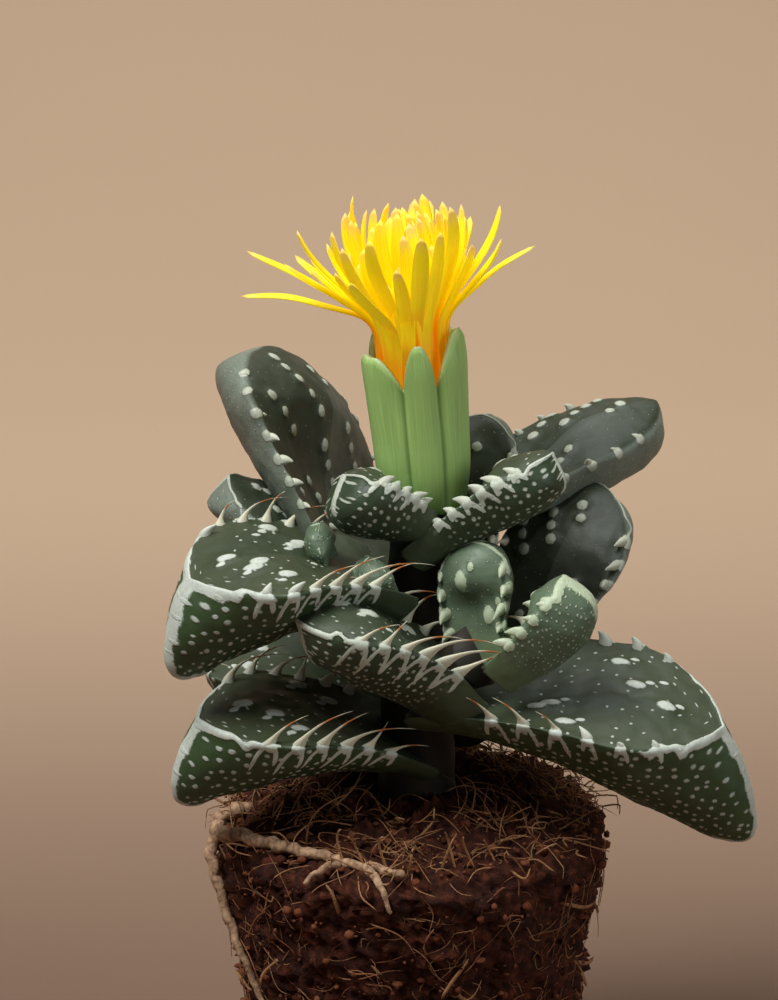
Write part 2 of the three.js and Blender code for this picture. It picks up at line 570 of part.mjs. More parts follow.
// Soil
const frontRoot = joined([FRONT_ROOT, ...FRONT_BRANCHES].map((root) => surfaceRoot(root)));
const rootGrooves = joined([FRONT_ROOT, LEFT_ROOT, ...FRONT_BRANCHES].map((root) => surfaceRoot(root, GAP)));
const stemHole = stemRoom.translate([0, 0, BALL.height]);
const overhead = leafPieces.map((leaf) => leaf.solid.translate([0, 0, BALL.height]));
const ballSolid = mainBody(joined([ballBody(), ...fibres(overhead)]).subtract(joined([stemHole, rootGrooves])));

const flower = group(
  'flower',
  piece('calyx', calyxSolid, CALYX_GREEN),
  piece('petals', petalSolid, PETAL_YELLOW),
  piece('stamens', stamenSolid, STAMEN_YELLOW),
);
const plant = group(
  'plant',
  piece('stem', stem(), YOUNG_GREEN),
  ...leafPieces.map((leaf) => piece(leaf.name, leaf.solid, leaf.look)),
  flower,
);
plant.position.z = BALL.height;

const ball = group(
  'ball',
  piece('root_ball', ballSolid, COIR),
  piece('surface_root_front', frontRoot, PALE_ROOT),
  piece('surface_root_left', surfaceRoot(LEFT_ROOT), PALE_ROOT),
);

const part = group('potted_tiger_jaws', ball, plant);

export default part;
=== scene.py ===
"""Gives a tiger jaws plant in flower, on its bare root ball, its finished surfaces, light and camera."""

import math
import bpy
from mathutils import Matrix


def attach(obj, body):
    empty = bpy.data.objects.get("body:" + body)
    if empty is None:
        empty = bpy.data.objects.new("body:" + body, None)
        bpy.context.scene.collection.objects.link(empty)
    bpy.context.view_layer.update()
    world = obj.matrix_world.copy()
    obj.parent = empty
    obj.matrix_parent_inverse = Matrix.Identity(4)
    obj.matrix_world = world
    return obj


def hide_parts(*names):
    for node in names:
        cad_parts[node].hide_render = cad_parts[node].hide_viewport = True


bl_info = {
    "name": "Potted Tiger Jaws",
    "version": (1, 0, 0),
    "blender": (4, 5, 0),
    "location": "View3D > Sidebar > Tiger Jaws",
    "description": "A toothed-leaf succulent in flower on its bare root ball",
    "category": "Add Mesh",
}

from math import cos, hypot, pi, radians, sin

import bmesh
import bpy
from mathutils import Matrix, Vector, noise

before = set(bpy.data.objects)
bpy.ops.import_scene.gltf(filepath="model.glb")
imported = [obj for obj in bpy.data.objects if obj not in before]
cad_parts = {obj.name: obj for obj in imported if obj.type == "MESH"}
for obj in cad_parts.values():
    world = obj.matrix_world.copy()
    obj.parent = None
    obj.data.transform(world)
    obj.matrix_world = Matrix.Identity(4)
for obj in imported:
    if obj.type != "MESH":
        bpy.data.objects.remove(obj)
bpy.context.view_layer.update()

# Driving dimensions in millimetres, as in the solid model
MM = 0.001
SOIL = 50
BALL = {"height": 50, "top": 26, "foot": 18.5, "foot_edge": 1.5, "crown": 4.5, "lump": 0.8}
STEM = {"x": 0.6, "y": -3, "foot": -8, "top": 42.5, "foot_radius": 6, "top_radius": 3.4}
SIDE_STEM = {"radius": 3.2, "route": [(1, -4, 20), (5.5, -9, 23.5), (9, -13, 26.5)], "swell": 1.3}
TOOTH = {"length": 1.4, "width": 0.8, "sunk": 0.9, "first": 0.24, "last": 0.86}
FLOWER = {"at": (1.9, -3, 93.3), "tilt": 5}
CALYX = {"foot": 5.2, "rim": 6.6, "cup": 16.5, "groove": 0.55}
# Lobes of the calyx: centre and half width as compass angles, and how much taller than the middle one
LOBES = [(-84, 22.5, -0.3), (-22, 39, 0.6), (54, 37, 0), (128, 37, 0), (-150, 44, -2.2)]
CORE = {"radius": 5, "foot": 9.4, "top": 12.4}
FIBRES = {"count": 26, "tuft": 8, "radius": 0.42, "length": 8, "seed": 7}

# Leaves: root above the soil line, heading, rise, roll and curl in degrees, then length, half width, depth,
# chin, neck, taper, teeth on each margin, height of the teeth, warts, finish, fineness of its mesh, width of
# the pale rim and how oval the tip is
LEAF_FIELDS = (
    "name", "root", "heading", "rise", "roll", "curl", "length", "half", "depth", "chin",
    "neck", "taper", "teeth", "spine", "warts", "finish", "fine", "rim", "oval",
)
LEAF_ROWS = (
    ("small_left", (-9, -8, 34), 190, 72, -20, 0, 9, 3.6, 3.4, 0.5, 0, 0, 0, 0, 0, "young", 0.5, 0.2, 1),
    ("small_front", (-2.3, -10, 32.3), 215, 62, 0, 0, 8, 3.5, 4, 0.5, 0, 0, 0, 0, 0, "young", 0.5, 0.2, 1),
    ("low_right", (0, -7, 20.5), -15, 12, 13, -34, 41.5, 12, 16.5, 12,
     0.45, 0, 6, 4, 6, "front", 1.5, 1.7, 0),
    ("low_left", (2, -5, 11), 204, 35, -12, -44, 33, 10, 12.5, 6, 0.4, 0, 6, 5, 5, "front", 1.5, 1.7, 0),
    ("mid_left", (-2, -6, 35), 208, 31, -8, -49, 30, 11.5, 13.5, 9, 0, 0, 6, 5, 7, "front", 1.5, 2.3, 0),
    ("mid_front", (8.5, -13, 21.5), 208, 56, -12, -58, 29, 7.5, 13.5, -7,
     0, 0.65, 6, 6.5, 4, "inner", 1.5, 1.2, 0.7),
    ("back_left", (-4.5, 3, 30), 121, 46, 40, 0, 36.5, 18, 9.5, 2, 0, 0, 7, 3, 9, "back", 1.1, 0, 0.6),
    ("back_right", (-1, 5, 37.3), 30, 20.5, 4, -8, 41, 8, 9, -9, 0, 0, 6, 3, 6, "back", 1.1, 0, 0.8),
    ("mid_right", (9.5, 0, 18.6), 35, 50, 20, 0, 30, 8.8, 7, -2, 0, 0, 6, 5, 5, "back", 1.1, 0.6, 0.5),
    ("inner_right", (-1, -5.5, 38), -5, 43, -14, -14, 23.5, 5.8, 7, -3, 0, 0, 6, 2, 2, "inner", 1.1, 1, 1),
    ("inner_left", (1.5, -6, 42.5), 200, 33, 25, 0, 13, 6, 7.5, -4, 0, 0, 5, 2, 3, "inner", 0.8, 1, 1),
    ("young_left", (8, -14, 25), 95, 75, -30, 0, 16, 5, 6, 1, 0, 0, 4, 2, 2, "young", 0.9, 1.2, 1),
    ("young_right", (9, -16, 26.5), -5, 42, -6, 14, 15.5, 5, 9.5, -6, 0, 0.2, 4, 3, 1, "young", 1.1, 2.2, 1),
    ("inner_back", (5, 3, 30), 60, 68, 10, 0, 23, 6, 5, 1.5, 0, 0, 5, 3, 2, "back", 0.8, 0.5, 0.7),
    ("far_left", (-3, 1, 28), 168, 38, 0, 0, 27, 7, 5.5, 0.5, 0, 0, 4, 4, 3, "back", 0.8, 0.5, 0.5),
    ("low_back_right", (3, 3, 12), 62, 30, 10, -34, 38, 11, 12, 4, 0, 0, 4, 4, 5, "front", 1, 0.9, 0),
    ("low_back_left", (-3, 3, 10), 138, 28, -10, -34, 33, 11, 12, 4, 0, 0, 4, 4, 5, "front", 1, 0.9, 0),
    ("mid_back", (0, 3, 21), 95, 30, 0, -23, 32, 10, 9, 3, 0, 0, 4, 4, 4, "front", 1, 0.8, 0),
)
LEAVES = [dict(zip(LEAF_FIELDS, row)) for row in LEAF_ROWS]
# How often a leaf's nose is smoothed, where it isn't the usual number of times
USUAL_SOFT = 12
SOFT = {
    "mid_front": 25, "young_right": 50, "back_right": 40, "inner_right": 35, "inner_left": 35,
    "back_left": 30, "mid_left": 16, "small_front": 30, "small_left": 20, "young_left": 30,
}

# Teeth taller than this end in a bristle, blunt leaves lose so much of their teeth towards the tip, and the
# teeth of the leaves behind are shrunk to knobs
BRISTLE = 3
BLUNT = {"low_right": 0.6, "mid_left": 0.45, "mid_front": 0.25, "young_right": 0.5, "back_left": 0.35}
KNOB = 0.55

# The raised white markings in millimetres: the rim, the two-legged mark under a tooth, and the warts
RIM = {"down": 0.15, "wander": 1.1, "margin": 0.42, "nose": 0.85, "uneven": 0.25, "nose_reach": 4}
MARK = {
    "full_spine": 3.5, "full_depth": 11, "reach": 2.2, "longer": 4.2, "lean": 0.16, "gap": 0.2,
    "spread": 0.5, "wider": 0.7, "opens_over": 1.4, "short_leg": 0.7, "leg": 0.42, "faint": 0.3,
    "foot": 0.7, "wide": 0.3,
}
# How many warts for each one of the solid leaf, share of the length where they start, share over which they
# run, least radius and stretch along the leaf
WARTS = {"behind": (3, 0.3, 0.6, 0.75, 1), "front": (2, 0.42, 0.46, 0.5, 1.5)}
WART = {"across": 0.78, "tall": 2.6}
GOLDEN = 0.618

# Faces of a leaf whose fineness is 1: rows, pairs of columns in half of it, and the share on its upper face
LEAF_MESH = {"rows": 96, "columns": 36, "few_columns": 30, "face": 0.4}

# Leaf outlines as shares of its size, from root 0 to tip 1
WIDTH_OUTLINE = [(0, 0.72), (0.3, 0.84), (0.55, 0.96), (0.72, 1), (0.86, 0.72), (0.95, 0.36), (1, 0)]
KEEL_DEPTH = [(0, 0.55), (0.3, 0.68), (0.55, 0.82), (0.8, 0.98), (0.88, 1), (0.95, 0.72), (1, 0)]
KEEL_REACH = [(0, 0), (0.3, 0.3), (0.55, 0.56), (0.8, 0.88), (0.88, 0.99), (0.95, 1), (1, 1)]
CHIN_REACH = [(0.55, 0), (0.8, 0.1), (0.88, 0.62), (0.95, 1), (1, 0)]
NOSE_RETREAT = [(0.55, 0), (0.8, 0.9), (0.88, 1), (0.95, 0.4), (1, 0)]
CAMBER = [(0, -0.16), (0.35, -0.12), (0.7, 0.03), (1, 0)]
LOBE_TIP = 23.5
LOBE_EDGE = [(0, LOBE_TIP), (0.15, 23.4), (0.35, 22.8), (0.55, 21.6), (0.76, 19.8), (1, 17)]

# Petal layers from the outside in: count, opening from upright, its spread, how much more it opens on the
# left, hook of the tip, length, its spread and radius of the ring
PETAL_FIELDS = ("count", "open", "spread", "side", "hook", "length", "length_spread", "radius")
PETAL_LAYERS = [dict(zip(PETAL_FIELDS, row)) for row in (
    (9, 43, 13, 9, -4, 28, 3.5, 4.3),
    (12, 33, 11, 3, 12, 29, 3, 3.8),
    (10, 22, 9, 1, 16, 29.5, 3, 3.1),
    (6, 10, 6, 0, 14, 29.5, 2.5, 2.4),
)]
# Single petals, short broad ones at the front and stray ones at the sides: compass angle, opening, hook,
# length and share of the full width
SINGLE_PETALS = [
    (-116, 22, 16, 21, 1.15), (-96, 12, 14, 23, 1.1), (-134, 30, 20, 24.5, 0.95), (-70, 14, 16, 24, 0.9),
    (183, 68, -30, 32, 0.85), (172, 56, -16, 33, 0.8), (-166, 50, -6, 29, 0.85), (4, 52, -26, 29, 0.7),
    (-18, 44, 8, 28, 0.85),
]
SINGLE_RADIUS = 4.5
PETAL = {"width": 2.4, "thickness": 0.65, "turn": 5, "steps": 40, "seed": 32}
# Half width of a petal along it, as a share of its widest
PETAL_WIDTHS = [(0, 0.4), (0.35, 0.5), (0.55, 0.8), (0.72, 1), (0.86, 0.95), (0.95, 0.7), (1, 0.4)]
# Faces round the calyx and along its outline, where foot_rows lie underneath and wall_rows end at the edge
CALYX_MESH = {"around": 200, "rows": 150, "foot_rows": 8, "wall_rows": 96}
STAMENS = {"count": 9, "radius": 1.3, "length": 6, "seed": 5}

FRONT_ROOT = {"radius": 1, "route": [(-25.4, -9, 50.2), (-19, -14, 50.9), (-10, -20, 51), (-1, -24.6, 50.6)]}
FRONT_BRANCHES = [
    {"radius": 0.7, "route": [(-6, -22.2, 50.8), (-4, -25.4, 49.4), (-2.6, -26.3, 46)]},
    {"radius": 0.65, "route": [(-9, -20.7, 51), (-11.5, -22, 50.4), (-14, -22.6, 48.6)]},
]
LEFT_ROOT = {
    "radius": 1.1,
    "route": [
        (-21, -2, 50.8), (-25, -3.6, 50), (-26.3, -6, 46), (-24.8, -8.6, 40), (-22, -11, 33),
        (-18.6, -13, 25),
    ],
}

# Loose fibres lie at most this far past the ball's top radius
FIBRE_REACH = 1.6
SEEDS = {"threads": 11, "crumbs": 23}
BALL_MESH = {"around": 220, "rows": 150}

# The stage in metres: the floor's sheet, from where to where the painted shade on the floor round the plant
# fades, the lights as name, place, size and tint, the point they shine at, and the room's own light
FLOOR = {"half_width": 1.6, "front": -1.2, "back": 1.9, "bend_from": 0.35, "bend": 0.5}
FLOOR_SHADE_FADE = (0.02, 0.34)
LIGHTS = (
    ("key", (-0.3, -0.22, 0.75), 0.4, (0.96, 0.98, 1)),
    ("fill", (0.7, -0.4, 0.35), 0.5, (0.94, 0.97, 1)),
    ("top", (0.1, 0.25, 0.8), 0.6, (0.95, 0.98, 1)),
)
LIT_POINT = (0, 0, 0.09)
ROOM = {"tint": (0.92, 0.96, 1, 1), "strength": 0.06}
# The camera: the point it looks at and how far away it is in millimetres, its angle down, and its lens
CAMERA = {
    "looks_at": (-3, 0, 93), "away": 600, "down": 18,
    "focal_pixels": 4620, "frame_pixels": 1000, "sensor": 36,
}


def tone(hex_value):
    """The scene's linear colour for a screen colour such as "4d5c3e"."""
    channels = [int(hex_value[n:n + 2], 16) / 255 for n in (0, 2, 4)]
    return tuple(c / 12.92 if c <= 0.04045 else ((c + 0.055) / 1.055) ** 2.4 for c in channels)


def colour(name, description, hex_value):
    return bpy.props.FloatVectorProperty(
        name=name, description=description, subtype="COLOR", size=3, min=0, max=1, default=tone(hex_value),
    )


def distance(name, description, millimetres):
    return bpy.props.FloatProperty(
        name=name, description=description, subtype="DISTANCE", unit="LENGTH", min=0, precision=5,
        default=millimetres * MM,
    )


def power(name, description, watts):
    return bpy.props.FloatProperty(name=name, description=description, unit="POWER", min=0, default=watts)


def leaf_look_fields(flank, face, root, mark, spacing, fleck):
    return {
        "flank": colour("Flank", "Green or grey green of the leaf's sides", flank),
        "face": colour("Face", "Green of the leaf's upper face", face),
        "root": colour("Root", "Smooth grey green near the root", root),
        "mark": colour("Markings", "White or pale green of the flecks, warts and rim", mark),
        "spacing": distance("Fleck spacing", "Distance between two flecks", spacing),
        "fleck": distance("Fleck radius", "Radius of a fleck", fleck),
    }


class FrontLeafLook(bpy.types.PropertyGroup):
    """The big dark leaves round the foot of the plant."""
    __annotations__ = leaf_look_fields("384c2a", "3c442d", "3a4430", "c4cabc", 1.75, 0.38)


class InnerLeafLook(bpy.types.PropertyGroup):
    """The leaves in the middle, with finer and closer flecks."""
    __annotations__ = leaf_look_fields("33432a", "3b4530", "48543c", "c0c6b4", 1.3, 0.3)


class BackLeafLook(bpy.types.PropertyGroup):
    """The broad leaves behind, with grey sides and round pale warts."""
    __annotations__ = leaf_look_fields("7b8475", "2a3320", "3e4934", "b4b9a6", 1.3, 0.12)


class YoungLeafLook(bpy.types.PropertyGroup):
    """The youngest leaves, paler and almost smooth."""
    __annotations__ = leaf_look_fields("596b52", "62735a", "5f6f4c", "b6c2a2", 0.85, 0.16)


class ThornLook(bpy.types.PropertyGroup):
    """The teeth and their bristles."""
    shaft: colour("Shaft", "Cream of the bristle", "d2cdb0")
    joint: colour("Joint", "Orange brown at the bend of the bristle", "b46a2c")
    mark_height: distance("Marking height", "How far the white markings stand out", 0.22)
    lumps: distance("Lumps", "Unevenness of the leaf's skin", 0.16)


class FlowerLook(bpy.types.PropertyGroup):
    """The calyx, petals and stamens."""
    petal: colour("Petal", "Yellow of the petals", "ffe40a")
    petal_base: colour("Petal base", "Orange at the foot of the petals", "f09a08")
    petal_tip: colour("Petal tip", "Tip of the petals", "e2a878")
    calyx: colour("Calyx", "Light green of the calyx", "acd079")
    calyx_groove_and_foot_shade: colour("Calyx groove", "Darker green between the lobes", "5d8038")
    membrane: colour("Membrane", "Pale edge of the lobes", "dbe3bb")
    stamen: colour("Stamen", "Yellow of the stamens", "d9a52b")


class RootBallLook(bpy.types.PropertyGroup):
    """The root ball, its loose fibres and its pale roots."""
    crumb: colour("Crumb", "Dark red brown of the coir", "6a3520")
    dark: colour("Dark crumb", "Darkest brown of the coir", "2a130c")
    fibre: colour("Fibre", "Tan of the loose fibres", "b98a5e")
    pale_root: colour("Pale root", "Pale brown of the surface roots", "c09b78")
    crumbs: bpy.props.IntProperty(name="Crumbs", description="How many loose crumbs", min=0, default=1300)
    threads: bpy.props.IntProperty(name="Threads", description="How many loose fibres", min=0, default=2000)


class StageLook(bpy.types.PropertyGroup):
    """The floor, the light and the camera."""
    floor: colour("Backdrop", "Warm pale backdrop", "c2a588")
    # The darker floor round the plant is painted shade
    floor_shade: colour("Ground", "Darker ground round the plant", "6f5543")
    key: power("Key", "Key light", 7.2)
    fill: power("Fill", "Fill light", 2)
    top: power("Top", "Light from behind", 2.5)


LOOKS = {
    "front": ("jaws_front_leaf", FrontLeafLook),
    "inner": ("jaws_inner_leaf", InnerLeafLook),
    "back": ("jaws_back_leaf", BackLeafLook),
    "young": ("jaws_young_leaf", YoungLeafLook),
    "thorn": ("jaws_thorn", ThornLook),
    "flower": ("jaws_flower", FlowerLook),
    "ball": ("jaws_root_ball", RootBallLook),
    "stage": ("jaws_stage", StageLook),
}


def look(name):
    return getattr(bpy.context.scene, LOOKS[name][0])


# Numbers and curves
def lerp(a, b, t):
    return a + (b - a) * t


def smoothstep(x, low, high):
    t = min(1, max(0, (x - low) / (high - low)))
    return t * t * (3 - 2 * t)


def bell(x, width):
    """A smooth hump: 1 at 0, fading out at about twice the width."""
    share = x / width
    return math.exp(-share * share) if abs(share) < 3 else 0


def sequence(seed):
    """The same numbers from 0 to 1 for the same seed, as the solid model draws them."""
    state = seed
    whole = 0xFFFFFFFF
    while True:
        state = (state + 0x6D2B79F5) & whole
        t = ((state ^ (state >> 15)) * (1 | state)) & whole
        t = (((t + (((t ^ (t >> 7)) * (61 | t)) & whole)) & whole) ^ t) & whole
        yield (t ^ (t >> 14)) / 4294967296


def through(points, x):
    """The value at x of a smooth curve through the points (x, value), flat past its ends."""
    last = len(points) - 1
    if x <= points[0][0]:
        return points[0][1]
    if x >= points[last][0]:
        return points[last][1]
    i = next(n for n in range(1, last + 1) if x <= points[n][0]) - 1

    def slope(a, b):
        return (points[b][1] - points[a][1]) / (points[b][0] - points[a][0])

    here = slope(i, i + 1)
    into = (slope(i - 1, i) + here) / 2 if i > 0 else here
    out = (here + slope(i + 1, i + 2)) / 2 if i + 2 <= last else here
    span = points[i + 1][0] - points[i][0]
    t = (x - points[i][0]) / span
    t2 = t * t
    t3 = t2 * t
    return (
        (2 * t3 - 3 * t2 + 1) * points[i][1] + (t3 - 2 * t2 + t) * span * into
        + (3 * t2 - 2 * t3) * points[i + 1][1] + (t3 - t2) * span * out
    )


def route_line(route):
    """A smooth line through the route's points, from 0 to 1."""
    points = [Vector(p) for p in route]
    count = len(points) - 1

    def line(t):
        at = min(max(t, 0), 1) * count
        i = min(int(at), count - 1)
        f = at - i
        p1, p2 = points[i], points[i + 1]
        p0 = points[i - 1] if i > 0 else p1 * 2 - p2
        p3 = points[i + 2] if i + 2 <= count else p2 * 2 - p1
        return (
            p1 * 2 + (p2 - p0) * f + (p0 * 2 - p1 * 5 + p2 * 4 - p3) * f * f
            + (p1 * 3 - p0 - p2 * 3 + p3) * f * f * f
        ) / 2

    return line


BLANKS = {}


def from_top(vertex):
    """Share of the way round from a unit ball's top to its foot."""
    return math.acos(max(-1, min(1, vertex.co.z))) / pi


def blank(kind, across, along=0):
    """A new mesh that holds one unit ball, made once for each size."""
    key = (kind, across, along)
    if key not in BLANKS:
        first = bmesh.new()
        if kind == "rod":
            bmesh.ops.create_uvsphere(first, u_segments=across, v_segments=along, radius=1)
        else:
            bmesh.ops.create_icosphere(first, subdivisions=across, radius=1)
        BLANKS[key] = bpy.data.meshes.new("blank")
        first.to_mesh(BLANKS[key])
        first.free()
    made = bmesh.new()
    made.from_mesh(BLANKS[key])
    return made


def layers_like(bm, made):
    return [made.verts.layers.float_vector.new(name) for name in bm.verts.layers.float_vector.keys()]


def join(bm, made):
    if "carrier" not in BLANKS:
        BLANKS["carrier"] = bpy.data.meshes.new("carrier")
    made.to_mesh(BLANKS["carrier"])
    made.free()
    bm.from_mesh(BLANKS["carrier"])


def strand(bm, line, across, width, depth, sides=8, rows=12, cup=0, written=None, moved=None):
    """A closed rod along a line from 0 to 1: width and depth give its half sizes along and square to across.
    cup hollows its face, written(t, turn) gives what is written on a point, and moved carries the point."""
    made = blank("rod", sides, rows)
    layers = layers_like(bm, made)
    rings = {}
    for vertex in made.verts:
        row = round(rows * (1 - from_top(vertex)))
        rings.setdefault(row, []).append(vertex)
    step = 0.5 / rows
    for row, ring in rings.items():
        t = row / rows
        centre = line(t)
        along = (line(min(t + step, 1)) - line(max(t - step, 0))).normalized()
        wide = (across - along * across.dot(along)).normalized()
        deep = wide.cross(along)
        wide_half, deep_half = width(t), depth(t)
        for vertex in ring:
            turn = math.atan2(vertex.co.y, vertex.co.x)
            on_ring = 0 < row < rows
            x = wide_half * cos(turn) if on_ring else 0
            z = deep_half * sin(turn) - cup * x * x / max(wide_half, 0.01) if on_ring else 0
            at = centre + wide * x + deep * z
            vertex.co = moved(at) if moved else at
            if written:
                for layer, value in zip(layers, written(t, turn)):
                    vertex[layer] = Vector(value)
    join(bm, made)


def place_piece(bm, name, material, nodes):
    """Turns a mesh drawn in millimetres into a piece that stands for the CAD nodes."""
    bmesh.ops.recalc_face_normals(bm, faces=bm.faces)
    bmesh.ops.scale(bm, vec=(MM, MM, MM), verts=bm.verts)
    for face in bm.faces:
        face.smooth = True
    mesh = bpy.data.meshes.new(name)
    bm.to_mesh(mesh)
    bm.free()
    mesh.materials.append(material)
    piece = bpy.data.objects.new(name, mesh)
    bpy.context.scene.collection.objects.link(piece)
    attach(piece, "root")
    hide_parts(*nodes)
    return piece


# Materials
class Socket:
    """One output of a material's nodes, so that maths on it reads as maths."""

    def __init__(self, finish, output):
        self.finish = finish
        self.output = output

    def __add__(self, other):
        return self.finish.maths("ADD", self, other)

    def __radd__(self, other):
        return self.finish.maths("ADD", other, self)

    def __sub__(self, other):
        return self.finish.maths("SUBTRACT", self, other)

    def __rsub__(self, other):
        return self.finish.maths("SUBTRACT", other, self)

    def __mul__(self, other):
        return self.finish.maths("MULTIPLY", self, other)

    def __rmul__(self, other):
        return self.finish.maths("MULTIPLY", other, self)

    def __truediv__(self, other):
        return self.finish.maths("DIVIDE", self, other)

    def either(self, other):
        return self.finish.maths("MAXIMUM", self, other)


class Finish:
    """A material made of nodes."""

    def __init__(self, name):
        self.material = bpy.data.materials.new(name)
        self.material.use_nodes = True
        self.tree = self.material.node_tree
        self.tree.nodes.clear()

    def node(self, kind, inputs=None, output=0, stops=None, **settings):
        made = self.tree.nodes.new(kind)
        for key, value in settings.items():
            setattr(made, key, value)
        if stops:
            elements = made.color_ramp.elements
            while len(elements) < len(stops):
                elements.new(1)
            for element, (position, value) in zip(elements, stops):
                element.position = position
                element.color = (*value, 1)
        for key, value in (inputs or {}).items():
            if isinstance(value, Socket):
                self.tree.links.new(value.output, made.inputs[key])
            elif hasattr(value, "__len__") and len(value) == 3 and made.inputs[key].type == "RGBA":
                made.inputs[key].default_value = (*value, 1)
            else:
                made.inputs[key].default_value = value
        return None if output is None else Socket(self, made.outputs[output])

    def maths(self, operation, a, b=0.0):
        return self.node("ShaderNodeMath", {0: a, 1: b}, operation=operation)

    def mix(self, factor, a, b):
        inputs = {0: factor, 6: a, 7: b}
        return self.node("ShaderNodeMix", inputs, output=2, data_type="RGBA")

    def step(self, value, low, high):
        inputs = {"Value": value, "From Min": low, "From Max": high}
        return self.node("ShaderNodeMapRange", inputs, interpolation_type="SMOOTHSTEP")

    def ramp(self, value, stops):
        return self.node("ShaderNodeValToRGB", {0: value}, stops=stops)

    def split(self, vector):
        made = self.node("ShaderNodeSeparateXYZ", {0: vector})
        return [Socket(self, output) for output in made.output.node.outputs]

    def join(self, x, y, z=0.0):
        return self.node("ShaderNodeCombineXYZ", {0: x, 1: y, 2: z})

    def written(self, name):
        return self.node("ShaderNodeAttribute", output="Vector", attribute_name=name)

    def place(self):
        return self.node("ShaderNodeTexCoord", output="Object")

    def grain(self, vector, size_mm, detail=2.0, roughness=0.5):
        """Soft noise from 0 to 1 whose lumps are about size_mm wide, on coordinates in metres."""
        inputs = {"Vector": vector, "Scale": 1 / (size_mm * MM), "Detail": detail, "Roughness": roughness}
        return self.node("ShaderNodeTexNoise", inputs)

    def bump(self, height, reach_mm, strength=1.0, normal=None):
        inputs = {"Height": height, "Distance": reach_mm * MM, "Strength": strength}
        if normal:
            inputs["Normal"] = normal
        return self.node("ShaderNodeBump", inputs)

    def surface(self, colour_value, roughness, normal=None, **constants):
        inputs = {"Base Color": colour_value, "Roughness": roughness}
        if normal:
            inputs["Normal"] = normal
        inputs.update({key.replace("_", " "): value for key, value in constants.items()})
        shader = self.node("ShaderNodeBsdfPrincipled", inputs)
        self.node("ShaderNodeOutputMaterial", {"Surface": shader}, output=None)
        return self.material


DEEPEST_GREEN = (0.004, 0.006, 0.002)


def leaf_material(name, leaf_look):
    """Skin of a leaf, from two attributes of its mesh: skin holds millimetres along the leaf, millimetres
    down from its margin and share of its length, and marks holds white, share along a tooth and flank."""
    thorn = look("thorn")
    m = Finish(name)
    along, fall, share = m.split(m.written("skin"))
    white, tooth, flank = m.split(m.written("marks"))
    place = m.place()
    cloud = m.grain(place, 7, 2)
    fine = m.grain(place, 0.45, 2, 0.6)
    middling = m.grain(place, 1.6, 2)
    spacing = leaf_look.spacing / MM
    wobble = middling * 0.5
    on_skin = m.join(along * 0.95 + wobble, fall + wobble)
    cells = m.node(
        "ShaderNodeTexVoronoi", {"Vector": on_skin, "Scale": 1 / spacing, "Randomness": 0.6},
        output="Distance", voronoi_dimensions="2D",
    )
    chance = m.split(Socket(m, cells.output.node.outputs["Color"]))[0]
    radius = (0.65 + 0.4 * chance) * (0.6 + 0.4 * flank) * (leaf_look.fleck / MM / spacing)
    present = flank.either(m.step(chance, 0.6, 0.64)) * m.step(share, 0.2, 0.42)
    fleck = (1 - m.step(cells / radius, 0.6, 1.35)) * present
    skin_green = m.mix(flank, leaf_look.face, leaf_look.flank)
    # darker serves both the leaf's own clouded tone and the painted shade low on the flank
    darker = m.mix(0.55, leaf_look.flank, DEEPEST_GREEN)
    skin_green = m.mix(m.step(cloud * 0.6 + middling * 0.4, 0.3, 0.75) * 0.35, skin_green, darker)
    grey = m.mix(0.5, leaf_look.root, leaf_look.face)
    skin_green = m.mix(m.step(fine, 0.45, 0.75) * 0.3, skin_green, grey)
    # Towards the root the leaf turns to its root colour: its own smooth grey green bloom, set darker as
    # painted shade deep among the leaf roots
    skin_green = m.mix((1 - m.step(share, 0.1, 0.45)) * 0.75, skin_green, leaf_look.root)
    # Painted shade: the flank darkens further down towards the keel, except near the tip
    painted_flank_shade = m.step(fall, 1.5, 8.0) * (1 - m.step(share, 0.7, 1.05))
    skin_green = m.mix(painted_flank_shade * 0.7, skin_green, darker)
    skin_green = m.mix(fleck * 0.75, skin_green, leaf_look.mark)
    edge = m.step(white + (fine - 0.5) * 0.35 + (middling - 0.5) * 0.3, 0.42, 0.62)
    uneven_white = m.mix(m.step(fine, 0.3, 0.8) * 0.2, leaf_look.mark, leaf_look.root)
    skin_green = m.mix(edge, skin_green, uneven_white)
    thorn_colour = m.ramp(tooth, (
        (0.0, leaf_look.mark), (0.3, thorn.shaft), (0.55, thorn.shaft), (0.66, thorn.joint),
        (0.76, thorn.joint), (0.86, thorn.shaft),
    ))
    painted = m.mix(m.step(tooth, 0.01, 0.03), skin_green, thorn_colour)
    relief = m.bump(fleck.either(edge * 0.6), 0.14)
    relief = m.bump(fine * 0.5 + middling * 0.5, 0.1, 0.6, relief)
    roughness = 0.42 + 0.2 * fleck + 0.18 * middling
    return m.surface(painted, roughness, relief, Specular_IOR_Level=0.45)


def calyx_material():
    """Calyx, from its lobe attribute: 0 on a lobe's back to 1 in the groove, height, how near its edge."""
    flower = look("flower")
    m = Finish("calyx green")
    side, height, edge = m.split(m.written("lobe"))
    place = m.place()
    streak = m.node(
        "ShaderNodeTexNoise", {"Vector": m.join(side * 9, height * 1.2), "Scale": 2.2, "Detail": 3.0},
    )
    fine = m.grain(place, 0.35)
    green = m.mix(m.step(streak, 0.3, 0.75) * 0.3, flower.calyx, flower.calyx_groove_and_foot_shade)
    green = m.mix(m.step(side, 0.86, 1.0) * 0.75, green, flower.calyx_groove_and_foot_shade)
    # Painted shade: the calyx darkens towards its foot, where it sits down among the inner leaves
    green = m.mix((1 - m.step(height, 0.0, 0.4)) * 0.45, green, flower.calyx_groove_and_foot_shade)
    green = m.mix(m.step(edge, 0.7, 1.0) * 0.45, green, flower.membrane)
    relief = m.bump(fine, 0.05, 0.5)
    return m.surface(
        green, 0.4 + 0.1 * fine, relief,
        Subsurface_Weight=0.15, Subsurface_Radius=(0.5, 1.0, 0.2), Subsurface_Scale=0.002,
    )


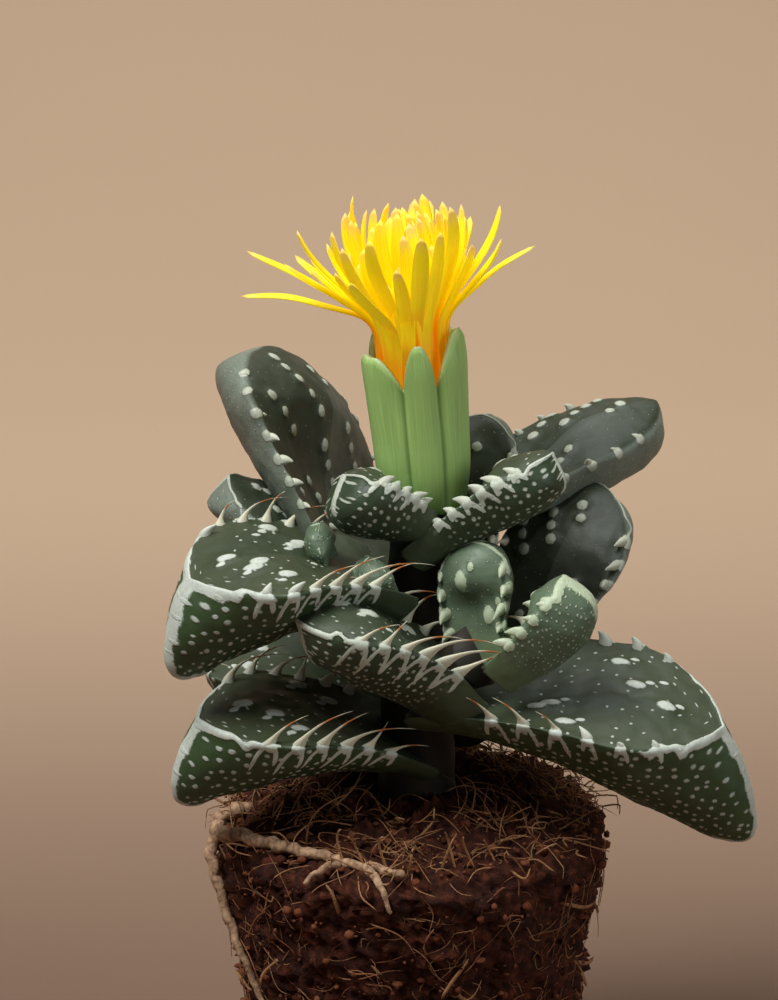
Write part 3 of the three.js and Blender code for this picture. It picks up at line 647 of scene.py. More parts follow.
def petal_material():
    """Petals, from the blade attribute: share of the length, place across and each petal's own number. They
    give off a little yellow light of their own, a painted glow that stands in for light shining through
    them.
    """
    flower = look("flower")
    m = Finish("petal yellow")
    t, across, own = m.split(m.written("blade"))
    vein = m.node(
        "ShaderNodeTexNoise", {"Vector": m.join(across * 7, t * 1.5, own * 20), "Scale": 2.0, "Detail": 2.0},
    )
    yellow = m.mix(m.step(vein, 0.4, 0.75) * 0.35, flower.petal, flower.petal_base)
    # Painted shade: the petals turn orange towards their foot, deep in the cup
    yellow = m.mix((1 - m.step(t, 0.4, 0.64)) * 0.9, yellow, flower.petal_base)
    brown = m.step(t, 0.9, 1.0) * (0.2 + 0.6 * own)
    yellow = m.mix(brown, yellow, flower.petal_tip)
    relief = m.bump(vein, 0.08, 0.6)
    # Painted glow: the petals' own yellow is given off as light, standing in for light shining through them
    return m.surface(
        yellow, 0.5, relief, Emission_Color=yellow, Emission_Strength=0.22,
        Subsurface_Weight=0.3, Subsurface_Radius=(1.0, 0.8, 0.1), Subsurface_Scale=0.0015,
    )


def plain_material(name, base, second, size_mm, roughness, reach_mm=0.15):
    """One colour clouded with a second, for the hidden stem, the stamens and the roots."""
    m = Finish(name)
    cloud = m.grain(m.place(), size_mm, 4, 0.6)
    relief = m.bump(cloud, reach_mm, 0.7)
    return m.surface(m.mix(m.step(cloud, 0.3, 0.7), base, second), roughness, relief)


def coir_material():
    """Coir, from the thread attribute: 0 on the crumb or each fibre's own number, and the painted shade in
    the cracks between clods.
    """
    ball = look("ball")
    m = Finish("coir")
    own, crevice_shade = m.split(m.written("thread"))[:2]
    place = m.place()
    coarse = m.grain(place, 2.4, 4, 0.65)
    fine = m.grain(place, 0.35, 3, 0.7)
    crumb = m.mix(m.step(coarse, 0.3, 0.75), ball.dark, ball.crumb)
    crumb = m.mix(m.step(fine, 0.6, 0.8) * 0.5, crumb, ball.fibre)
    # Painted shade: the coir darkens in the cracks between its clods
    crumb = m.mix(crevice_shade * 0.8, crumb, ball.dark)
    thread = m.mix(own * (0.6 + 0.4 * fine), ball.crumb, ball.fibre)
    painted = m.mix(m.step(own, 0.0, 0.05), crumb, thread)
    relief = m.bump(fine * 0.6 + coarse * 0.4, 0.5, 1.0)
    return m.surface(painted, 0.9, relief, Specular_IOR_Level=0.2)


# Leaves
def half_width(leaf, s):
    plan = through(WIDTH_OUTLINE, s)
    if s > 0.72:
        plan = lerp(plan, math.sqrt(max(0, 1 - ((s - 0.72) / 0.28) ** 2)), leaf["oval"])
    return leaf["half"] * plan


def keel(leaf, s):
    """(along, up) of the keel under a share of the leaf's length. A chin juts out, or below 0 draws back."""
    reach = CHIN_REACH if leaf["chin"] > 0 else NOSE_RETREAT
    slimming = (1 - leaf["taper"] * s * s) * (1 - leaf["neck"] * (1 - s) ** 2)
    round_end = math.sqrt(max(0, 1 - ((s - 0.55) / 0.45) ** 2)) if s > 0.55 else 1
    oval_depth = min(1, through(KEEL_DEPTH, min(s, 0.8))) * round_end
    depth = lerp(through(KEEL_DEPTH, s), oval_depth, max(0, 2 * leaf["oval"] - 1))
    return (
        leaf["length"] * through(KEEL_REACH, s) + leaf["chin"] * through(reach, s) * (1 - leaf["oval"]),
        -leaf["depth"] * depth * slimming,
    )


def leaf_half_rows(leaf, rows, columns):
    """The left half of the straight leaf as rows of (point, fall, 1 on the flank): fall is how far a point
    lies down from the margin, and below 0 on the face. Columns run from the face's middle to the keel."""
    face_columns = round(columns * LEAF_MESH["face"])
    flank_columns = columns - face_columns
    found = []
    for n in range(rows + 1):
        s = 1 - (n / rows) ** 1.5
        half = half_width(leaf, s)
        x = leaf["length"] * s
        camber = leaf["half"] * through(CAMBER, s) + 0.3 * leaf["oval"] * half * smoothstep(s, 0.45, 0.75)
        keel_x, keel_z = keel(leaf, s)
        bluntness = lerp(1.05, lerp(1.5, 0.85, leaf["oval"]), s)
        row = []
        for k in range(face_columns):
            turn = k / face_columns
            point = Vector((x, half * turn, camber * (1 - turn * turn)))
            row.append((point, -half * (1 - turn), 0))
        fall = 0
        before = None
        for k in range(flank_columns + 1):
            angle = k / flank_columns * pi / 2
            down = sin(angle) ** bluntness
            point = Vector((lerp(x, keel_x, down), half * max(cos(angle), 0) ** bluntness, keel_z * down))
            fall += hypot(point.y - before.y, point.z - before.z) if before else 0
            before = point
            row.append((point, fall, 1))
        found.append((s, row))
    return found


def nose_line(leaf):
    """The edge from the tip down the front of the keel, seen from the side."""
    return [keel(leaf, 1 - 0.14 * n / 14) for n in range(15)]


def distance_to(line, x, z):
    nearest = 1e9
    for (ax, az), (bx, bz) in zip(line, line[1:]):
        dx, dz = bx - ax, bz - az
        size = dx * dx + dz * dz
        t = max(0, min(1, ((x - ax) * dx + (z - az) * dz) / size)) if size else 0
        nearest = min(nearest, hypot(x - ax - dx * t, z - az - dz * t))
    return nearest


def teeth_of(leaf):
    """(share of the length, side, height) of every tooth. On a blunt leaf they shrink towards the tip."""
    found = []
    blunt = BLUNT.get(leaf["name"], 0)
    shrunk = KNOB if leaf["finish"] == "back" else 1
    for n in range(leaf["teeth"]):
        for side in (1, -1):
            share = (n + (0.25 if side > 0 else 0.6)) / leaf["teeth"]
            spine = shrunk * leaf["spine"] * (0.75 + 0.35 * sin(pi * share))
            spine *= 1 - blunt * smoothstep(share, 0.15, 0.75)
            spine *= 1 + 0.22 * sin(5.3 * n + 2.1 * side + leaf["heading"])
            found.append((lerp(TOOTH["first"], TOOTH["last"], share), side, spine))
    return found


def warts_of(leaf):
    """(along, across, radius, stretch) of the warts on the upper face. Leaves behind have round ones."""
    found = []
    behind = leaf["finish"] == "back"
    times, first, run, small, stretch = WARTS["behind" if behind else "front"]
    for n in range(leaf["warts"] * times):
        s = first + run * ((n * GOLDEN) % 1)
        across = WART["across"] * (2 * ((n * 0.414 + 0.2) % 1) - 1)
        radius = small + 0.2 * ((n * 0.71) % 1) if behind else (1 if n < leaf["warts"] else small)
        found.append((leaf["length"] * s, across * half_width(leaf, s), radius, stretch))
    return found


def rim_height(leaf, fall, s, nose, wave, last_tooth):
    """The pale rim runs along the margin from the last tooth on, and down the nose."""
    from_teeth = smoothstep(s, last_tooth - 0.12, last_tooth + 0.02)
    wander = RIM["wander"] * wave * (1 - smoothstep(s, 0.86, 0.95))
    width = leaf["rim"] * RIM["margin"] * (1 + RIM["uneven"] * wave)
    band = bell(fall - RIM["down"] - wander, width) * from_teeth
    if nose >= RIM["nose_reach"]:
        return band
    return max(band, bell(nose, leaf["rim"] * (RIM["nose"] + RIM["uneven"] * wave)))


def tooth_mark(leaf, dx, fall, spine, vary):
    """(legs, foot) of the white under a tooth: a round foot, and two legs that spread as they run down."""
    tall = min(1, spine / MARK["full_spine"])
    reach = (MARK["reach"] + MARK["longer"] * tall) * min(1, leaf["depth"] / MARK["full_depth"]) * vary
    down = max(fall, 0)
    lean = dx - MARK["lean"] * down
    opened = 1 - math.exp(-down / MARK["opens_over"])
    spread = MARK["gap"] + (MARK["spread"] + MARK["wider"] * tall) * opened
    end = reach if lean > 0 else MARK["short_leg"] * reach
    legs = bell(abs(lean) - spread, MARK["leg"] - 0.03 * down) * (1 - smoothstep(down, 0.5 * end, end))
    legs *= smoothstep(fall, -1.2, -0.4)
    if leaf["finish"] in ("back", "young"):
        legs *= MARK["faint"]
    foot = bell(hypot(dx, (fall - RIM["down"]) * 0.9), MARK["foot"] + MARK["wide"] * tall)
    return legs, foot


def leaf_relief(leaf, x, y, fall, side, s, nose, teeth, warts):
    """(height, white) of the raised white markings at a point of the straight leaf."""
    height = white = 0
    wave = 0.5 * sin(1.1 * x + 2 * side) + 0.3 * sin(2.9 * x)
    if leaf["rim"]:
        height = white = max(0, rim_height(leaf, fall, s, nose, wave, teeth[-1][0] if teeth else 0.6))
    for n, (s_tooth, tooth_side, spine) in enumerate(teeth):
        dx = x - leaf["length"] * s_tooth
        if tooth_side != side or abs(dx) > 4 or fall < -1.6:
            continue
        legs, foot = tooth_mark(leaf, dx, fall, spine, 0.8 + 0.45 * ((n * 0.37) % 1))
        height = max(height, legs * 0.5, foot * 1.3)
        white = max(white, legs, foot * 1.1)
    for wart_x, wart_y, radius, stretch in warts if fall < 0 else ():
        dx = (x - wart_x) / stretch
        dy = y - wart_y
        if abs(dx) < 3 * radius and abs(dy) < 3 * radius:
            bump = bell(hypot(dx, dy), radius)
            height = max(height, bump * WART["tall"] * radius)
            white = max(white, bump * 1.05)
    return height, white


def place_leaf(leaf, turn, point):
    """Bends a point of the straight leaf up by its curl, turns it and carries it to the leaf's root."""
    bend = radians(leaf["curl"])
    x, z = point.x, point.z
    if abs(bend) > 1e-6:
        radius = leaf["length"] / bend
        angle = x / radius
        x, z = (radius - point.z) * sin(angle), radius - (radius - point.z) * cos(angle)
    return turn @ Vector((x, point.y, z)) + Vector(leaf["root"]) + Vector((0, 0, SOIL))


def leaf_turn(leaf):
    return (
        Matrix.Rotation(radians(leaf["heading"]), 3, "Z")
        @ Matrix.Rotation(radians(-leaf["rise"]), 3, "Y")
        @ Matrix.Rotation(radians(leaf["roll"]), 3, "X")
    )


def soften(bm, verts):
    bmesh.ops.smooth_vert(bm, verts=verts, factor=0.5, use_axis_x=True, use_axis_y=True, use_axis_z=True)


def unroll(half_rows, verts, rows, half_columns):
    """Carries a ball's points to the straight leaf, as (point, row, column, side, share, fall, flank)."""
    around = 2 * half_columns
    where = []
    for vertex in verts:
        row = round(rows * from_top(vertex))
        column = round(around * math.atan2(-vertex.co.y, vertex.co.x) / (2 * pi)) % around
        side = 1 if column <= half_columns else -1
        k = column if column <= half_columns else around - column
        s, points = half_rows[row]
        point, fall, flank = points[k]
        vertex.co = Vector((point.x, side * point.y, point.z))
        where.append((vertex, row, k, side, s, fall, flank))
    return where


def round_off(bm, leaf, where, rows, half_columns):
    """Softens the margins and the keel, and rounds the nose more and more towards the tip."""
    face_columns = round(half_columns * LEAF_MESH["face"])
    margin = [w[0] for w in where if abs(w[2] - face_columns) <= 3 and 0 < w[1] < rows]
    keel_line = [w[0] for w in where if w[2] >= half_columns - 2 and 0 < w[1] < rows]
    for near in (margin, margin, keel_line):
        soften(bm, near)
    for reach in (0.7, 0.76, 0.82, 0.88):
        nose = [w[0] for w in where if w[4] > reach and 0 < w[1]]
        for _ in range(SOFT.get(leaf["name"], USUAL_SOFT)):
            soften(bm, nose)


def add_leaf_body(bm, leaf, skin, marks):
    half_columns = 2 * round(LEAF_MESH["columns" if leaf["length"] > 10 else "few_columns"] * leaf["fine"])
    rows = round(LEAF_MESH["rows"] * leaf["fine"])
    half_rows = leaf_half_rows(leaf, rows, half_columns)
    ball = bmesh.ops.create_uvsphere(bm, u_segments=2 * half_columns, v_segments=rows, radius=1)
    where = unroll(half_rows, ball["verts"], rows, half_columns)
    for vertex, row, *_ in where:
        if row == rows:
            vertex.co = Vector((0, 0, -0.25 * leaf["depth"]))
    round_off(bm, leaf, where, rows, half_columns)
    bm.normal_update()
    nose_edge = nose_line(leaf)
    teeth = teeth_of(leaf)
    warts = warts_of(leaf)
    lump = look("thorn").lumps / MM
    mark_height = look("thorn").mark_height / MM
    seed = Vector(leaf["root"]) * 3.7
    turn = leaf_turn(leaf)
    moved = []
    for vertex, _, _, side, s, fall, flank in where:
        at = vertex.co
        nose = hypot(distance_to(nose_edge, at.x, at.z), at.y * 0.9) if s > 0.55 and flank else 9
        height, white = leaf_relief(leaf, at.x, at.y, fall, side, s, nose, teeth, warts)
        soft = noise.noise((at + seed) * 0.22) * 1.6 + noise.noise((at + seed) * 0.6) * 0.6
        moved.append((vertex, at + vertex.normal * (height * mark_height + soft * lump)))
        vertex[skin] = Vector((at.x, side * fall, s))
        vertex[marks] = Vector((white, 0, smoothstep(fall, -0.5, 0.5)))
    for vertex, at in moved:
        vertex.co = place_leaf(leaf, turn, at)


def add_tooth(bm, leaf, turn, s, side, spine):
    """A tooth stands on the margin, broad along it, leans out and back, and may end in a bristle."""
    margin = Vector((leaf["length"] * s, side * half_width(leaf, s), 0))
    foot = margin + Vector((0, -side * TOOTH["sunk"], -TOOTH["sunk"]))
    bristly = spine >= BRISTLE
    vary = noise.noise(Vector((s * 13, side * 3, leaf["length"])))
    hair = 1.4 + 0.35 * vary if bristly else 1
    sway = noise.noise(Vector((s * 9, side * 5, leaf["half"])))

    def line(t):
        t = t * hair
        return foot + Vector((
            -spine * (0.15 * t + (0.45 + 0.6 * sway) * t * t),
            side * spine * (0.45 * t - 0.3 * t * t) + 1.6 * sway * t * t,
            (spine + TOOTH["sunk"]) * (t - 0.25 * t * t),
        ))

    if bristly:
        thin = [(0, 1), (0.12, 0.8), (0.26, 0.4), (0.42, 0.2), (0.62, 0.12), (0.85, 0.05), (1, 0.02)]
    else:
        thin = [(0, 1), (0.4, 0.85), (0.7, 0.5), (0.9, 0.22), (1, 0.1)]
    half_length = TOOTH["length"] * min(0.75, 0.35 + 0.13 * spine)

    def written(t, angle):
        share = 0.05 + 0.95 * t if bristly else 0.05
        return (0, 0, 1), (1, share, 1)

    strand(
        bm, line, Vector((1, 0, 0)),
        lambda t: half_length * through(thin, t),
        lambda t: TOOTH["width"] * 0.85 * through(thin, t),
        sides=10, rows=20, written=written, moved=lambda at: place_leaf(leaf, turn, at),
    )


def build_leaf(leaf, material):
    bm = bmesh.new()
    skin = bm.verts.layers.float_vector.new("skin")
    marks = bm.verts.layers.float_vector.new("marks")
    add_leaf_body(bm, leaf, skin, marks)
    turn = leaf_turn(leaf)
    for s, side, spine in teeth_of(leaf):
        if spine > 0.6:
            add_tooth(bm, leaf, turn, s, side, spine)
    slot = "young_leaf" if leaf["length"] < 17 else "leaf"
    place_piece(bm, leaf["name"] + "_leaf", material, ["leaf_" + leaf["name"]])


class JawsLeaves(bpy.types.Operator):
    """Makes every leaf with its teeth, bristles, warts, flecks and pale rim"""
    bl_idname = "jaws.leaves"
    bl_label = "Leaves"

    def execute(self, context):
        kinds = ("front", "inner", "back", "young")
        finishes = {kind: leaf_material(kind + " leaf skin", look(kind)) for kind in kinds}
        for leaf in LEAVES:
            build_leaf(leaf, finishes[leaf["finish"]])
        return {"FINISHED"}


class JawsStem(bpy.types.Operator):
    """Makes the short stem with its side shoot, hidden between the leaves"""
    bl_idname = "jaws.stem"
    bl_label = "Stem"

    def execute(self, context):
        bm = bmesh.new()
        up = Vector((0, 0, SOIL))
        foot = Vector((STEM["x"], STEM["y"], STEM["foot"])) + up
        top = Vector((STEM["x"], STEM["y"], STEM["top"])) + up

        def ringed(t):
            return lerp(STEM["foot_radius"], STEM["top_radius"], t) * (0.98 + 0.02 * sin(40 * t))

        strand(bm, lambda t: foot.lerp(top, t), Vector((1, 0, 0)), ringed, ringed, 32, 60)
        side = route_line([Vector(p) + up for p in SIDE_STEM["route"]])

        def swelling(t):
            return lerp(SIDE_STEM["radius"], SIDE_STEM["radius"] * SIDE_STEM["swell"], t)

        strand(bm, side, Vector((0.3, 0.9, 0.31)), swelling, swelling, 24, 24)
        # Painted shade: the hidden stem is coloured near black brown so that it reads as the dark hollow
        # between the leaf roots
        green = plain_material("stem skin", tone("1f1a10"), tone("2b2014"), 2, 0.7)
        place_piece(bm, "short_stem", green, ["stem"])
        return {"FINISHED"}


# Flower
def in_flower(bm):
    turn = Matrix.Rotation(radians(-FLOWER["tilt"]), 4, "Y")
    bmesh.ops.transform(bm, matrix=Matrix.Translation(FLOWER["at"]) @ turn, verts=bm.verts)


def calyx_radius(z):
    foot, rim = CALYX["foot"], CALYX["rim"]
    return through([
        (0, foot - 0.3), (0.8, foot), (5, foot + 0.9), (10, rim - 0.2), (CALYX["cup"], rim),
        (20, rim + 0.15), (LOBE_TIP, rim - 0.1),
    ], z)


def nearest_lobe(angle):
    """(0 on a lobe's back to 1 in the groove beside it, how much taller that lobe is)"""
    found = []
    for centre, half_turn, taller in LOBES:
        away = abs((math.degrees(angle) - centre + 180) % 360 - 180)
        found.append((min(1, away / half_turn), taller))
    return min(found)


def build_calyx():
    """The cup: its wall climbs from the foot to the lobes' edge, turns over it and goes down inside."""
    bm = bmesh.new()
    lobe = bm.verts.layers.float_vector.new("lobe")
    around, rows = CALYX_MESH["around"], CALYX_MESH["rows"]
    foot_rows, wall_rows = CALYX_MESH["foot_rows"], CALYX_MESH["wall_rows"]
    inner_foot = CORE["foot"] - 0.3
    inner_radius = CORE["radius"] + 0.3
    verts = bmesh.ops.create_uvsphere(bm, u_segments=around, v_segments=rows, radius=1)["verts"]
    for vertex in verts:
        row = round(rows * (1 - from_top(vertex)))
        angle = math.atan2(vertex.co.y, vertex.co.x)
        side, taller = nearest_lobe(angle)
        edge_height = through(LOBE_EDGE, side) + taller * (1 - side)
        if row <= foot_rows:
            radius = calyx_radius(0) * row / foot_rows
            height = 0
        elif row <= wall_rows:
            height = edge_height * (row - foot_rows) / (wall_rows - foot_rows)
            radius = calyx_radius(height)
        else:
            share = (row - wall_rows) / (rows - foot_rows - wall_rows)
            height = lerp(edge_height, inner_foot, min(1, share))
            radius = inner_radius * min(1, (rows - row) / foot_rows)
        climbing = min(1, height / 6)
        outside = row <= wall_rows
        if outside:
            radius -= CALYX["groove"] * side ** 3 * climbing * min(1, radius / 4)
            lobe_share = smoothstep(height, 9, 18)
            radius -= 0.5 * side ** 2 * lobe_share
            radius += 0.3 * (1 - side ** 2) * lobe_share
        thin = smoothstep(height, CALYX["cup"] - 4, LOBE_TIP)
        if not outside and row <= rows - foot_rows:
            radius = lerp(radius, calyx_radius(height) - 0.9 - 0.5 * side ** 2, smoothstep(height, 12, 18))
        if outside:
            radius -= 0.35 * smoothstep(row / wall_rows, 0.97, 1) * thin
        vertex.co = Vector((radius * cos(angle), radius * sin(angle), height))
        near_edge = 1 - min(1, (edge_height - height) / 1.6) if height > CALYX["cup"] - 3 else 0
        vertex[lobe] = Vector((side, height / 24, max(0, near_edge)))
    in_flower(bm)
    place_piece(bm, "calyx_cup", calyx_material(), ["calyx"])


def petal_line(opening, hook, length):
    """A petal climbs straight out of the cup, opens over a few millimetres, and its tip hooks back."""
    climb = LOBE_TIP - CORE["foot"] - 1.4
    stride = length / PETAL["steps"]
    line = [Vector((0, 0))]
    for n in range(PETAL["steps"]):
        run = stride * (n + 0.5)
        opened = opening * smoothstep(run, climb - 1, climb + PETAL["turn"])
        curl = hook * smoothstep(run, 0.7 * length, length) + 8 * smoothstep(run, 0.8 * length, length)
        angle = radians(opened - curl)
        line.append(line[n] + Vector((sin(angle), cos(angle))) * stride)

    def at(t):
        place = t * PETAL["steps"]
        n = min(int(place), PETAL["steps"] - 1)
        return line[n].lerp(line[n + 1], place - n)

    return at


def add_petal(bm, azimuth, radius, opening, hook, length, own, slim=1):
    direction = Vector((cos(azimuth), sin(azimuth), 0))
    across = Vector((-direction.y, direction.x, 0))
    line = petal_line(opening, hook, length)
    sway = 3 * (own - 0.5)
    cast = 0.8 * ((own * 7.3) % 1)

    def curve(t):
        at = line(t)
        free = smoothstep(t, 0.4, 1)
        point = direction * (radius + 0.25 * t + at.x - cast * free * free)
        point += across * sway * free * sin(2.6 * t)
        point.z = CORE["foot"] + 1.2 + at.y
        return point

    strand(
        bm, curve, across,
        lambda t: 0.5 * PETAL["width"] * slim * through(PETAL_WIDTHS, t),
        lambda t: 0.5 * PETAL["thickness"] * lerp(0.8, 0.4, t),
        sides=12, rows=32, cup=-0.35, written=lambda t, turn: [(t, cos(turn), own)],
    )


def build_petals():
    bm = bmesh.new()
    bm.verts.layers.float_vector.new("blade")
    random = sequence(PETAL["seed"])
    for n, layer in enumerate(PETAL_LAYERS):
        for k in range(layer["count"]):
            azimuth = 2 * pi * (k + 0.5 * (n % 2) + 0.3 * (next(random) - 0.5)) / layer["count"]
            opening = layer["open"] + layer["spread"] * (2 * next(random) - 1) - layer["side"] * cos(azimuth)
            length = layer["length"] + layer["length_spread"] * (2 * next(random) - 1)
            own = (0.37 * k + 0.21 * n) % 1
            add_petal(bm, azimuth, layer["radius"], opening, layer["hook"], length, own, 0.85 + 0.15 * own)
            beside = azimuth + pi / layer["count"]
            inner = layer["radius"] - 0.3
            less = opening * (0.72 + 0.2 * own)
            add_petal(bm, beside, inner, less, layer["hook"] + 4, length * 0.95, 1 - own, 0.8)
    for azimuth, opening, hook, length, slim in SINGLE_PETALS:
        add_petal(bm, radians(azimuth), SINGLE_RADIUS, opening, hook, length, 0.45, slim)
    floor = Vector((0, 0, CORE["foot"]))
    top = Vector((0, 0, CORE["top"]))
    strand(
        bm, lambda t: floor.lerp(top, t), Vector((1, 0, 0)),
        lambda t: CORE["radius"], lambda t: CORE["radius"], 32, 8, written=lambda t, turn: [(0.2, 0, 0)],
    )
    in_flower(bm)
    place_piece(bm, "yellow_petals", petal_material(), ["petals"])


def stamen_radius(t):
    """A thin thread that ends in an anther."""
    return 0.18 if t < 0.8 else 0.42


def build_stamens():
    bm = bmesh.new()
    random = sequence(STAMENS["seed"])
    foot = Vector((0, 0, CORE["top"] + 0.3))
    head = Vector((0, 0, CORE["top"] + 1.5))
    strand(
        bm, lambda t: foot.lerp(head, t), Vector((1, 0, 0)),
        lambda t: STAMENS["radius"], lambda t: STAMENS["radius"], 16, 6,
    )
    for k in range(STAMENS["count"]):
        angle = k * 2.4
        start = 0.9 * math.sqrt(k / STAMENS["count"])
        lean = 0.3 * start
        top = STAMENS["length"] * (0.8 + 0.3 * next(random))
        line = route_line([
            (start * cos(angle), start * sin(angle), CORE["top"] + 1),
            ((start + lean) * cos(angle), (start + lean) * sin(angle), CORE["top"] + 1.5 + top),
        ])
        strand(bm, line, Vector((0.3, 0.9, 0.3)), stamen_radius, stamen_radius, 8, 14)
    in_flower(bm)
    stamen = look("flower").stamen
    yellow = plain_material("stamen yellow", stamen, tone("f0d890"), 0.4, 0.7)
    place_piece(bm, "stamen_tuft", yellow, ["stamens"])


class JawsFlower(bpy.types.Operator):
    """Makes the green calyx, the yellow petals and the stamens"""
    bl_idname = "jaws.flower"
    bl_label = "Flower"

    def execute(self, context):
        build_calyx()
        build_petals()
        build_stamens()
        return {"FINISHED"}


# Root ball
def ball_radius(height):
    return lerp(BALL["foot"], BALL["top"], min(1, max(0, height / (BALL["height"] - 2.5))))


def ball_profile():
    """(radius, height) along the ball's outline from the middle of its top to the middle of its foot."""
    height, top, foot = BALL["height"], BALL["top"], BALL["foot"]
    crown, edge = BALL["crown"], BALL["foot_edge"]
    return [
        (0, height + crown), (top * 0.35, height + crown), (top * 0.7, height + crown * 0.5),
        (top - 1.4, height - 0.5), (top, height - 2.5), (foot, edge), (foot - edge, 0), (0, 0),
    ]


def along_profile(profile, share):
    lengths = [hypot(b[0] - a[0], b[1] - a[1]) for a, b in zip(profile, profile[1:])]
    left = share * sum(lengths)
    for (a, b), length in zip(zip(profile, profile[1:]), lengths):
        if left <= length:
            return lerp(a[0], b[0], left / length), lerp(a[1], b[1], left / length)
        left -= length
    return profile[-1]


def lumps(x, y, z):
    wave = (
        sin(0.55 * x + 1.3) * sin(0.6 * y + 0.4) + sin(0.35 * z + 0.5 * x) + 0.6 * sin(0.9 * z + 0.7 * y + 2)
    )
    return BALL["lump"] * 0.5 * wave * min(1, max(0, (z - BALL["foot_edge"]) / 5))


def add_ball_body(bm, thread):
    around, rows = BALL_MESH["around"], BALL_MESH["rows"]
    verts = bmesh.ops.create_uvsphere(bm, u_segments=around, v_segments=rows, radius=1)["verts"]
    profile = ball_profile()
    for vertex in verts:
        share = from_top(vertex)
        angle = math.atan2(vertex.co.y, vertex.co.x)
        radius, z = along_profile(profile, share)
        vertex.co = Vector((radius * cos(angle), radius * sin(angle), z))
    bm.normal_update()
    moved = []
    for vertex in verts:
        at = vertex.co
        low = lumps(at.x, at.y, at.z)
        cell = noise.voronoi(at * 0.55)[0]
        clod = cell[1] - cell[0]
        rough = noise.fractal(at * 0.9, 0.6, 2.1, 5)
        fade = smoothstep(at.z, 0.3, 4)
        out = low + fade * (1.2 * rough + 0.6 * min(clod, 0.6) - 0.5)
        to = at + vertex.normal * out
        to.z = max(to.z, 0)
        moved.append((vertex, to))
        # Painted shade: the cracks between clods are marked to be darkened in the coir's colour
        vertex[thread] = Vector((0, 1 - smoothstep(clod, 0, 0.35), 0))
    for vertex, to in moved:
        vertex.co = to


def ball_spot(share_height, angle):
    """(point, outward direction) on the ball's side, or on its top when share_height is over 1."""
    out = Vector((cos(angle), sin(angle), 0))
    if share_height <= 1:
        height = lerp(1.5, BALL["height"] - 3, share_height)
        radius = ball_radius(height) + lumps(out.x * 24, out.y * 24, height)
        return Vector((out.x * radius, out.y * radius, height)), out
    radius = BALL["top"] - 0.6 - (share_height - 1) * BALL["top"] * 0.95
    slope_top = BALL["top"] * 0.7
    low = BALL["height"] - 0.8
    middle = BALL["height"] + BALL["crown"] * 0.5
    high = BALL["height"] + BALL["crown"]
    if radius > slope_top:
        height = lerp(middle, low, (radius - slope_top) / (BALL["top"] - slope_top))
    else:
        height = lerp(high, middle, smoothstep(radius, BALL["top"] * 0.3, slope_top))
    return Vector((out.x * radius, out.y * radius, height)), (Vector((0, 0, 1)) + out * 0.3).normalized()


def add_fibre(bm, foot, normal, along, lift, length, radius, curl, own, rows=9):
    twist = along.cross(normal)

    def line(t):
        wave = curl * sin(pi * 1.4 * t + own * 6)
        arch = lift * (1.9 * t - 0.9 * t * t)
        droop = (length * t) ** 2 / 56
        point = foot + normal * (arch - droop) + along * length * t + twist * wave
        shrink = min(1, (BALL["top"] + FIBRE_REACH) / max(1, hypot(point.x, point.y)))
        return Vector((point.x * shrink, point.y * shrink, point.z))

    strand(
        bm, line, Vector((0.3, 0.5, 0.8)),
        lambda t: radius * (1 - 0.5 * t), lambda t: radius * (1 - 0.5 * t), 3, rows,
        written=lambda t, turn: [(0.15 + 0.85 * own, 0, 0)],
    )


def add_model_fibres(strands):
    """The fibres and the tuft at the front rim that the solid model has."""
    random = sequence(FIBRES["seed"])
    up = Vector((0, 0, 1))
    for n in range(FIBRES["count"]):
        height = lerp(10, BALL["height"] - 3, next(random))
        drift = 2 * pi * next(random)
        length = FIBRES["length"] * (0.6 + 0.6 * next(random))
        angle = 2 * pi * n / FIBRES["count"]
        out = Vector((cos(angle), sin(angle), 0))
        along = Vector((-out.y * cos(drift), out.x * cos(drift), sin(drift)))
        radius = lerp(BALL["foot"], BALL["top"], height / BALL["height"])
        foot = out * (radius - 1.6) + up * height
        add_fibre(strands, foot, out, along, 2.6, length, FIBRES["radius"], 0.5, 0.8)
    for n in range(FIBRES["tuft"]):
        angle = radians(-115 + 60 * (n + 0.5 * next(random)) / FIBRES["tuft"])
        length = 3 * next(random)
        lift = 5 + 3 * next(random)
        drift = pi * next(random)
        out = Vector((cos(angle), sin(angle), 0))
        along = (Vector((-out.y, out.x, 0)) * cos(drift) + out * sin(drift)).normalized()
        foot = out * (BALL["top"] * 0.86) + up * (BALL["height"] - 1.5)
        add_fibre(strands, foot, up, along, lift, length, FIBRES["radius"] * 0.6, 0.7, 0.9)


def add_threads(strands, count):
    """Thin loose fibres all over the ball. On its top they are thicker, paler and stand up in tufts."""
    random = sequence(SEEDS["threads"])
    for _ in range(count):
        share = 1.55 * next(random)
        tuft = share > 1
        spot, normal = ball_spot(share, 2 * pi * next(random))
        side = normal.cross(Vector((0, 0, 1)) if abs(normal.z) < 0.8 else Vector((1, 0, 0))).normalized()
        drift = 2 * pi * next(random)
        along = side * cos(drift) + normal.cross(side) * sin(drift)
        length = 2.5 + 8 * next(random) ** 2
        lift = -0.3 + (5 if tuft else 1.5) * next(random) ** 2
        curl = 0.3 + 1.2 * next(random)
        radius = (0.08 if tuft else 0.06) + (0.15 if tuft else 0.1) * next(random) ** 2
        own = lerp(0.5 if tuft else 0, 1, next(random))
        add_fibre(strands, spot - normal * 0.2, normal, along, lift, length, radius, curl, own, 8)


